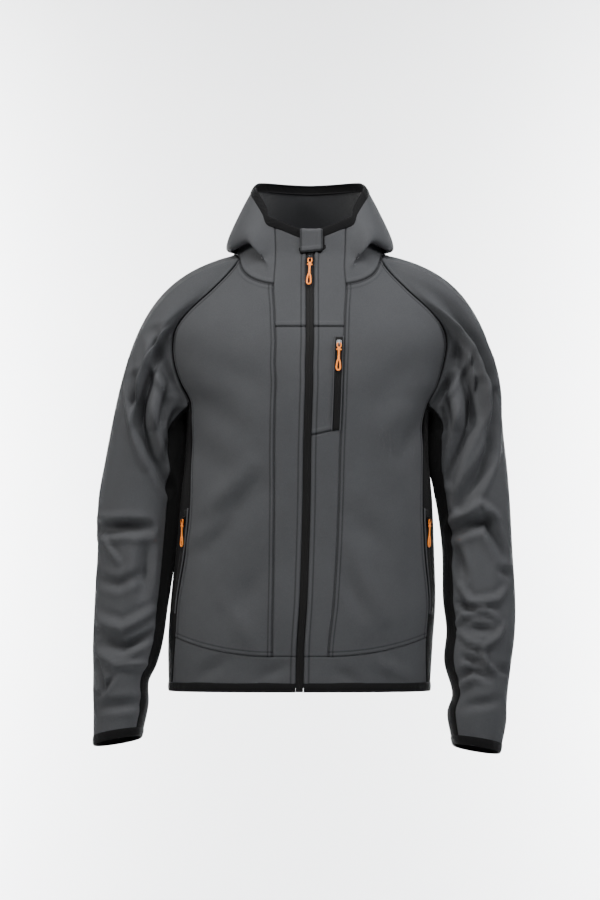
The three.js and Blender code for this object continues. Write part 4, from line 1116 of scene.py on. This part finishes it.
def chest_edges(z):
    """The two edges of the chest pocket's zip, measured across the body."""
    outer = TORSO["strip"](z) - 1.5
    return outer - CHEST_ZIP_WIDTH, outer


zip_piece("main_zip", band_on_torso(ZIP_FOOT_Z, ZIP_TOP_Z, main_edges, 0.0))
zip_piece("chest_pocket_zip", band_on_torso(*CHEST_ZIP_Z, chest_edges, TAPE_LIFT))


def side_zip(hand):
    """The side pocket's zip lies on the side panel, just behind the front panel's edge."""

    def surface(u, v):
        z = mix(*SIDE_ZIP_Z, v)
        turn = TORSO["side"](z) + mix(1.5, 6.5, u if hand > 0 else 1 - u)
        near = torso_point(hand * turn, z)
        return near + away_from_axis(near, z, [1, 0.8, 0]) * TAPE_LIFT

    return surface


for word, hand in HAND.items():
    zip_piece(f"side_pocket_zip_{word}", side_zip(hand))

# %% Folded edges beside the pocket zips
FOLD_RADII = {"chest": 0.9, "side": 1.2}


def tube(path, radius, sides=10, squash=1.0, out=(0.0, -1.0, 0.0)):
    """A tube along a path. Its section is an ellipse whose thickness along out is squashed."""
    along = unit(np.gradient(path, axis=0))
    side = unit(np.cross(along, np.broadcast_to(out, path.shape)))
    thick = np.cross(side, along)
    radius = np.broadcast_to(radius, len(path))[:, None, None]
    turn = np.linspace(0, 2 * np.pi, sides, endpoint=False)[None, :, None]
    ring = side[:, None] * np.cos(turn) + thick[:, None] * np.sin(turn) * squash
    return path[:, None] + ring * radius


def tube_mesh(name, tubes, material, body):
    """Several tubes as one piece on one body."""
    points, faces, start = [], [], 0
    for rings in tubes:
        rows, columns = rings.shape[:2]
        points += [rings.reshape(-1, 3), rings[:1].mean(axis=1), rings[-1:].mean(axis=1)]
        faces += (grid_faces(rows, columns, closed=True) + start).tolist()
        middle = start + rows * columns
        foot = middle - columns
        for j in range(columns):
            after = (j + 1) % columns
            faces += [[middle, start + after, start + j], [middle + 1, foot + j, foot + after]]
        start = middle + 2
    piece = new_mesh(name, np.concatenate(points), faces)
    piece.data.materials.append(material)
    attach(piece, body)
    return piece


def beside_chest_zip(offset, lift):
    """A path along one edge of the chest pocket's zip."""
    z = np.linspace(CHEST_ZIP_Z[0] - 1.0, CHEST_ZIP_Z[1] + 1.0, 90)
    start, end = chest_edges(z)
    across = (start if offset < 0 else end) + offset
    return torso_point(angle_across(across, z), z) + xyz(0, -lift, 0)


def beside_side_zip(hand, lift):
    """A path along the front edge of a side pocket's zip."""
    z = np.linspace(SIDE_ZIP_Z[0] - 2, SIDE_ZIP_Z[1] + 2, 90)
    place = torso_point(hand * (TORSO["side"](z) + 1.0), z)
    return place + away_from_axis(place, z, [1, 1, 0]) * lift


folds = [tube(beside_chest_zip(step, 1.2), FOLD_RADII["chest"]) for step in (-0.8, 0.8)]
tube_mesh("chest_pocket_folds", folds, SHELL, "garment")
folds = [tube(beside_side_zip(hand, 1.0), FOLD_RADII["side"]) for hand in HAND.values()]
tube_mesh("side_pocket_folds", folds, SHELL, "garment")

# %% The tab over the top of the zip
GARAGE_FROM, GARAGE_TO = -16.0, 19.0
GARAGE_ROLL_Z = 42.0
GARAGE_ROLL_LENGTH = 14.0
GARAGE_ROLL_RADIUS = 4.0
GARAGE_LIFT = 3.4


def garage(u, v):
    """A tab that covers the top of the zip. Its lower edge dips to the wearer's right, and its top
    rolls back over the collar's binding."""
    height = mix(mix(9.0, 12.5, u), GARAGE_ROLL_Z + GARAGE_ROLL_LENGTH, v)
    z = np.minimum(height, GARAGE_ROLL_Z)
    flat = torso_point(angle_across(mix(GARAGE_FROM, GARAGE_TO, u), z), z)
    roll = np.clip((height - GARAGE_ROLL_Z) / GARAGE_ROLL_LENGTH, 0, 1) * 0.75 * np.pi
    back = GARAGE_ROLL_RADIUS * (1 - np.cos(roll)) - GARAGE_LIFT
    return flat + xyz(0, back, GARAGE_ROLL_RADIUS * np.sin(roll))


cloth_piece(
    "zip_garage", seam_grid(garage, spacing=2.5), SHELL_PAIR,
    {"first": "near", "last": "near", "low": "near"}, thickness=1.4,
)

# %% [markdown]
# Each slider is a small cast body with an arch, and its moulded pull hangs from the arch. A pull
# is one with its joint in the frame: everything that hangs is made in the joint's own directions
# (sideways, up the zip and outwards) and rides on the pull's body, so it turns with the joint.

# %% The place of each slider and the directions there
HINGE_OUT = 3.8
MAIN_SLIDER_Z = -1
CHEST_SLIDER_Z = -131
SIDE_SLIDER_Z = -398


def slider_place(angle, z, lift):
    """The hinge point, and the directions sideways, up along the zip and out of the cloth."""
    point = torso_point(angle, float(z))
    up = unit(torso_point(angle, z + 6.0) - torso_point(angle, z - 6.0))
    across = torso_point(angle + 1.0, float(z)) - torso_point(angle - 1.0, float(z))
    out = unit(np.cross(across, up))
    side = unit(np.cross(up, out))
    return point + out * (lift + 0.3 + HINGE_OUT), side, np.cross(out, side), out


chest_angle = float(angle_across(TORSO["strip"](CHEST_SLIDER_Z) - 7.0, CHEST_SLIDER_Z))
side_turn = float(TORSO["side"](SIDE_SLIDER_Z)) + 4.0
PLACES = {
    "main": (slider_place(0.0, MAIN_SLIDER_Z, 0.6), "main_pull", BLACK_METAL, -2),
    "chest": (slider_place(chest_angle, CHEST_SLIDER_Z, 1.5), "chest_pull", PLATED_METAL, 4),
    "side_right": (slider_place(-side_turn, SIDE_SLIDER_Z, 1.9), "side_right_pull", BLACK_METAL, 4),
    "side_left": (slider_place(side_turn, SIDE_SLIDER_Z, 1.9), "side_left_pull", BLACK_METAL, 4),
}


def placed(local, place, lean=0.0):
    """Points given as (sideways, up, out) from the hinge, turned by a lean about the hinge."""
    hinge, side, up, out = place
    turn = math.radians(lean)
    x, y, z = local[..., 0:1], local[..., 1:2], local[..., 2:3]
    y, z = y * math.cos(turn) - z * math.sin(turn), y * math.sin(turn) + z * math.cos(turn)
    return hinge + x * side + y * up + z * out


# %% The pull, as tubes with soft round sections
PULL_LENGTH = 42.0


def mirrored_loop(half, count):
    """A smooth closed curve that mirrors these (x, y) points of its one half."""
    flat = half + [(-x, y) for x, y in half[-2:0:-1]]
    points = np.array([(x, y, 0) for x, y in flat], float)
    wide = np.concatenate([points[-2:], points, points[:3]])
    place = np.linspace(2, len(points) + 2, count, endpoint=False)
    return smooth_chain(wide[None], place / (len(wide) - 1))[0]


def ring_of(path, radius, squash):
    """A tube round a closed path, with its last ring on its first."""
    path = np.concatenate([path, path[:1]])
    along = unit(np.roll(path[:-1], -1, axis=0) - np.roll(path[:-1], 1, axis=0))
    along = np.concatenate([along, along[:1]])
    side = unit(np.cross(along, [0.0, 0.0, 1.0]))
    turn = np.linspace(0, 2 * np.pi, 12, endpoint=False)[None, :, None]
    ring = side[:, None] * np.cos(turn) + np.array([0, 0, squash]) * np.sin(turn)
    return path[:, None] + ring * radius


def pull_tubes():
    """The frame on the slider's arch, the stem, the collar round it, and the finger loop."""
    foot = -PULL_LENGTH
    frame_half = [(0, 0), (2.2, -0.1), (2.7, -1.4), (2.6, -4.8), (1.6, -6.6), (0, -7.0)]
    loop_half = [(0, -24.5), (1.5, -26.5), (2.7, foot + 8), (2.9, foot + 4.6), (1.9, foot + 2.0)]
    loop_half.append((0, foot + 1.1))
    frame_ring = ring_of(mirrored_loop(frame_half, 48), 0.95, 0.8)
    finger_ring = ring_of(mirrored_loop(loop_half, 60), 1.3, 0.85)
    y = np.linspace(-5.6, -26.5, 30)
    width = np.interp(-y, [5.6, 7.5, 9.5, 13, 18, 24, 26.5], [1.0, 2.1, 1.9, 1.7, 1.55, 1.8, 1.2])
    stem = tube(xyz(0, y, 0), width, 12, 0.62, [0.0, 0.0, 1.0])
    x = np.linspace(-4.1, 4.1, 15)
    bulge = 1.35 * np.sqrt(np.clip(1 - (x / 4.3) ** 4, 0.05, 1))
    collar = tube(xyz(x, -9.6, 0), bulge, 12, 0.8, [0.0, 0.0, 1.0])
    return [frame_ring, stem, collar, finger_ring]


# %% The slider's body
def rounded_block(width, height, low, high, edge=0.6, steps=5):
    """A box with rounded edges: rings of a rounded rectangle that shrink at the top and bottom."""
    turn = np.linspace(0, 2 * np.pi, 32, endpoint=False)
    square = signed_power(np.stack([np.cos(turn), np.sin(turn)], axis=1), 0.35)
    half = np.array([width, height]) / 2
    bend = np.linspace(0, np.pi / 2, steps)
    inset = np.r_[edge * (1 - np.sin(bend)), edge * (1 - np.sin(bend[::-1]))]
    level_z = np.r_[low + edge * (1 - np.cos(bend)), high - edge * (1 - np.cos(bend[::-1]))]
    rings = square * (half - inset[:, None])[:, None]
    return xyz(rings[..., 0], rings[..., 1], level_z[:, None])


def slider_tubes():
    """The plate, a narrower nose plate on it, and the arch that the pull hangs from."""
    base = -HINGE_OUT
    y = np.linspace(-3.4, 3.4, 25)
    rise = 3.0 * np.sqrt(np.clip(1 - (np.abs(y) / 3.6) ** 3, 0, 1))
    arch = tube(xyz(0, y, base + 1.6 + rise), 0.85, 12, 1.2, [1.0, 0.0, 0.0])
    plate = rounded_block(8, 11, base, base + 2.2)
    nose = rounded_block(5.4, 8.0, base + 1.8, base + 2.9, 0.5)
    return [plate, nose, arch]


for name, (place, body, metal, lean) in PLACES.items():
    cast = [placed(rings, place) for rings in slider_tubes()]
    slider = tube_mesh(f"slider_body_{name}", cast, metal, "garment")
    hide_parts(f"slider_{name}")
    hanging = [placed(rings, place, lean) for rings in pull_tubes()]
    pull = tube_mesh(f"moulded_pull_{name}", hanging, PLASTIC, body)
    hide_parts(f"pull_{name}")
print("sliders and pulls:", len(PLACES))

# %% [markdown]
# Topstitching holds the lapped seams flat. Each stitch is a small spindle of thread that dips into
# the cloth at both ends, 3.2 mm from the next.

# %% Rows of stitches along the seams
STITCH_PITCH = 3.2
STITCH_LENGTH = 2.2
STITCH_RADIUS = 0.28
ROW_END = 2.0


def stitch_row(name, side, distance):
    """Where a row runs on a piece: the points at one distance from one of its edges."""
    data = made[name]
    away, points, normals = data["away"][side], data["points"], data["normals"]
    if side in ("first", "last"):
        away, points, normals = away.T, np.swapaxes(points, 0, 1), np.swapaxes(normals, 0, 1)
    if side in ("last", "high"):
        away, points, normals = away[::-1], points[::-1], normals[::-1]
    k = np.maximum(np.argmax(away >= distance, axis=0), 1)
    j = np.arange(away.shape[1])
    share = ((distance - away[k - 1, j]) / (away[k, j] - away[k - 1, j]))[:, None]
    path, normal = (mix(values[k - 1, j], values[k, j], share) for values in (points, normals))
    return path, unit(normal)


def stitches(name, rows):
    """One mesh of the stitches of several rows, each row given as piece, side and distance. A
    stitch is a spindle of five square rings, and its ends dip below the cloth."""
    places, alongs, outs = [], [], []
    for piece, side, distance in rows:
        path, normal = stitch_row(piece, side, distance)
        travelled = np.r_[0, np.cumsum(np.linalg.norm(np.diff(path, axis=0), axis=1))]
        middle = np.arange(ROW_END, travelled[-1] - ROW_END, STITCH_PITCH)

        def at(values, where):
            return np.stack([np.interp(where, travelled, values[:, k]) for k in range(3)], axis=1)

        places.append(at(path, middle))
        alongs.append(unit(at(path, middle + 0.5) - at(path, middle - 0.5)))
        outs.append(unit(at(normal, middle)))
    place, along, out = (np.concatenate(values)[:, None] for values in (places, alongs, outs))
    side = np.cross(along, out)
    step = np.array([-0.5, -0.3, 0.0, 0.3, 0.5])
    fat = np.array([0.25, 0.85, 1.0, 0.85, 0.25])
    height = np.array([-0.25, 0.1, 0.2, 0.1, -0.25])
    turn = np.radians([45, 135, 225, 315])
    s, f, h = (np.repeat(v, 4)[None, :, None] for v in (step, fat, height))
    c, d = (np.tile(v, 5)[None, :, None] * STITCH_RADIUS for v in (np.cos(turn), np.sin(turn)))
    points = place + along * s * STITCH_LENGTH + side * c * f + out * (h + d * f)
    faces = grid_faces(5, 4, closed=True)
    faces = faces[None] + 20 * np.arange(len(points))[:, None, None]
    piece = new_mesh(name, points.reshape(-1, 3), faces.reshape(-1, 4))
    piece.data.materials.append(THREAD)
    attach(piece, "garment")
    print(f"{name}: {len(points)} stitches")


# Each piece's lapped edges, as they were given when it was made
rows = [
    (name, side, distance)
    for name, data in made.items()
    for side, style in data["styles"].items()
    for distance in STITCHED[style]
]
other_rows = [row for row in rows if "sleeve" in row[0] or "hood" in row[0]]
body_rows = [row for row in rows if row not in other_rows]
stitches("body_topstitching", body_rows)
stitches("sleeve_and_hood_topstitching", other_rows)

# %% [markdown]
# Inside, each seam has its allowance: the turned-in edge, which goes on under the neighbour. It
# keeps the light from showing between two pieces.

# %% Seam allowances
ALLOWANCE = 5.0
ALLOWANCE_DEPTH = 2.6
EDGE_INSET = 0.05
strips, faces, total, first = [], [], 0.0, 0
for name, data in made.items():
    for side in data["styles"]:
        inside, normal = stitch_row(name, side, ALLOWANCE)
        edge = stitch_row(name, side, EDGE_INSET)[0]
        beyond = edge + unit(edge - inside) * ALLOWANCE
        strips.append((np.stack([inside, edge, beyond]) - normal * ALLOWANCE_DEPTH).reshape(-1, 3))
        faces.append(grid_faces(3, len(edge)) + first)
        first += 3 * len(edge)
        total += np.linalg.norm(np.diff(edge, axis=0), axis=1).sum()
allowances = new_mesh("seam_allowances", np.concatenate(strips), np.concatenate(faces))
allowances.data.materials.append(STRETCH)
give_wall(allowances, 0.8)
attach(allowances, "garment")
print(f"seam allowances: {total / 1000:.1f} m, {2 * ALLOWANCE:.0f} mm wide")

# %% [markdown]
# The photograph was taken against pale paper with broad soft light from both sides, a little
# stronger from the front left and from above, so the folds read as soft shadows.

# %% The stage
def stage_material():
    """Matt paper: one pale colour, with a faint mottle so that it isn't perfectly even."""
    material, tree, shader = new_material("pale_paper", 0.95, "#f1f2f4")
    put(tree, shader.inputs["Base Color"], tinted(tree, noise(tree, 2.0, 2.0), "#eff0f2", "#f4f5f6"))
    return material


FLOOR_Z = -2100
BACK_Y = 5200
COVE = 300
FRONT_Y = -5200
TOP_Z = 3000
HALF_WIDTH = 3600.0
turn = np.linspace(0, math.pi / 2, 17)
profile_y = np.r_[FRONT_Y, BACK_Y - COVE + COVE * np.sin(turn), BACK_Y]
profile_z = np.r_[FLOOR_Z, FLOOR_Z + COVE - COVE * np.cos(turn), TOP_Z]
across = np.array([-HALF_WIDTH, HALF_WIDTH])
paper = xyz(across[None, :], profile_y[:, None], profile_z[:, None])
floor = new_mesh("paper_backdrop", paper.reshape(-1, 3), grid_faces(len(profile_y), 2))
floor.data.materials.append(stage_material())


# %% The lights, in metres and watts
def area_light(name, place, target, size, watts, colour="#ffffff"):
    """A soft lamp at a place, facing a target."""
    lamp = bpy.data.lights.new(name, "AREA")
    lamp.shape = "RECTANGLE"
    lamp.size, lamp.size_y = size
    lamp.energy = watts
    lamp.color = linear(colour)[:3]
    holder = bpy.data.objects.new(name, lamp)
    bpy.context.scene.collection.objects.link(holder)
    holder.location = place
    direction = np.array(target) - np.array(place)
    holder.rotation_euler = Vector(direction).to_track_quat("-Z", "Y").to_euler()


CHEST = (0.0, 0.0, -0.3)
area_light("key", (-2.7, -1.6, 1.4), CHEST, (0.7, 1.0), 97, "#fffdfa")
area_light("side", (2.8, -1.4, 1.2), CHEST, (0.7, 1.0), 76, "#fdfdff")
area_light("top", (0.1, -0.95, 1.45), CHEST, (1.2, 0.8), 50)
for word, hand in HAND.items():
    # A tall lamp on each side, behind the jacket, lights only the paper
    area_light(f"paper_{word}", (hand * 2.3, 4.1, -0.3), (hand * 1.9, 5.2, -0.3), (0.8, 2.8), 440)
world = bpy.data.worlds.new("studio")
bpy.context.scene.world = world
world.use_nodes = True
background = world.node_tree.nodes["Background"]
background.inputs["Color"].default_value = linear("#eef0f3")
background.inputs["Strength"].default_value = 0.21
print("lights:", len(bpy.data.lights))

# %% The camera and the sizes
CAMERA_DISTANCE = 4.5
FRAME_HEIGHT = 1.395
SENSOR_HEIGHT = 36
camera = bpy.data.objects.new("camera", bpy.data.cameras.new("camera"))
bpy.context.scene.collection.objects.link(camera)
camera.location = (-0.00775, -CAMERA_DISTANCE, -0.291)
camera.rotation_euler = (math.pi / 2, 0, 0)
camera.data.sensor_fit = "VERTICAL"
camera.data.sensor_height = SENSOR_HEIGHT
camera.data.lens = SENSOR_HEIGHT * CAMERA_DISTANCE / FRAME_HEIGHT
bpy.context.scene.camera = camera

bpy.context.view_layer.update()
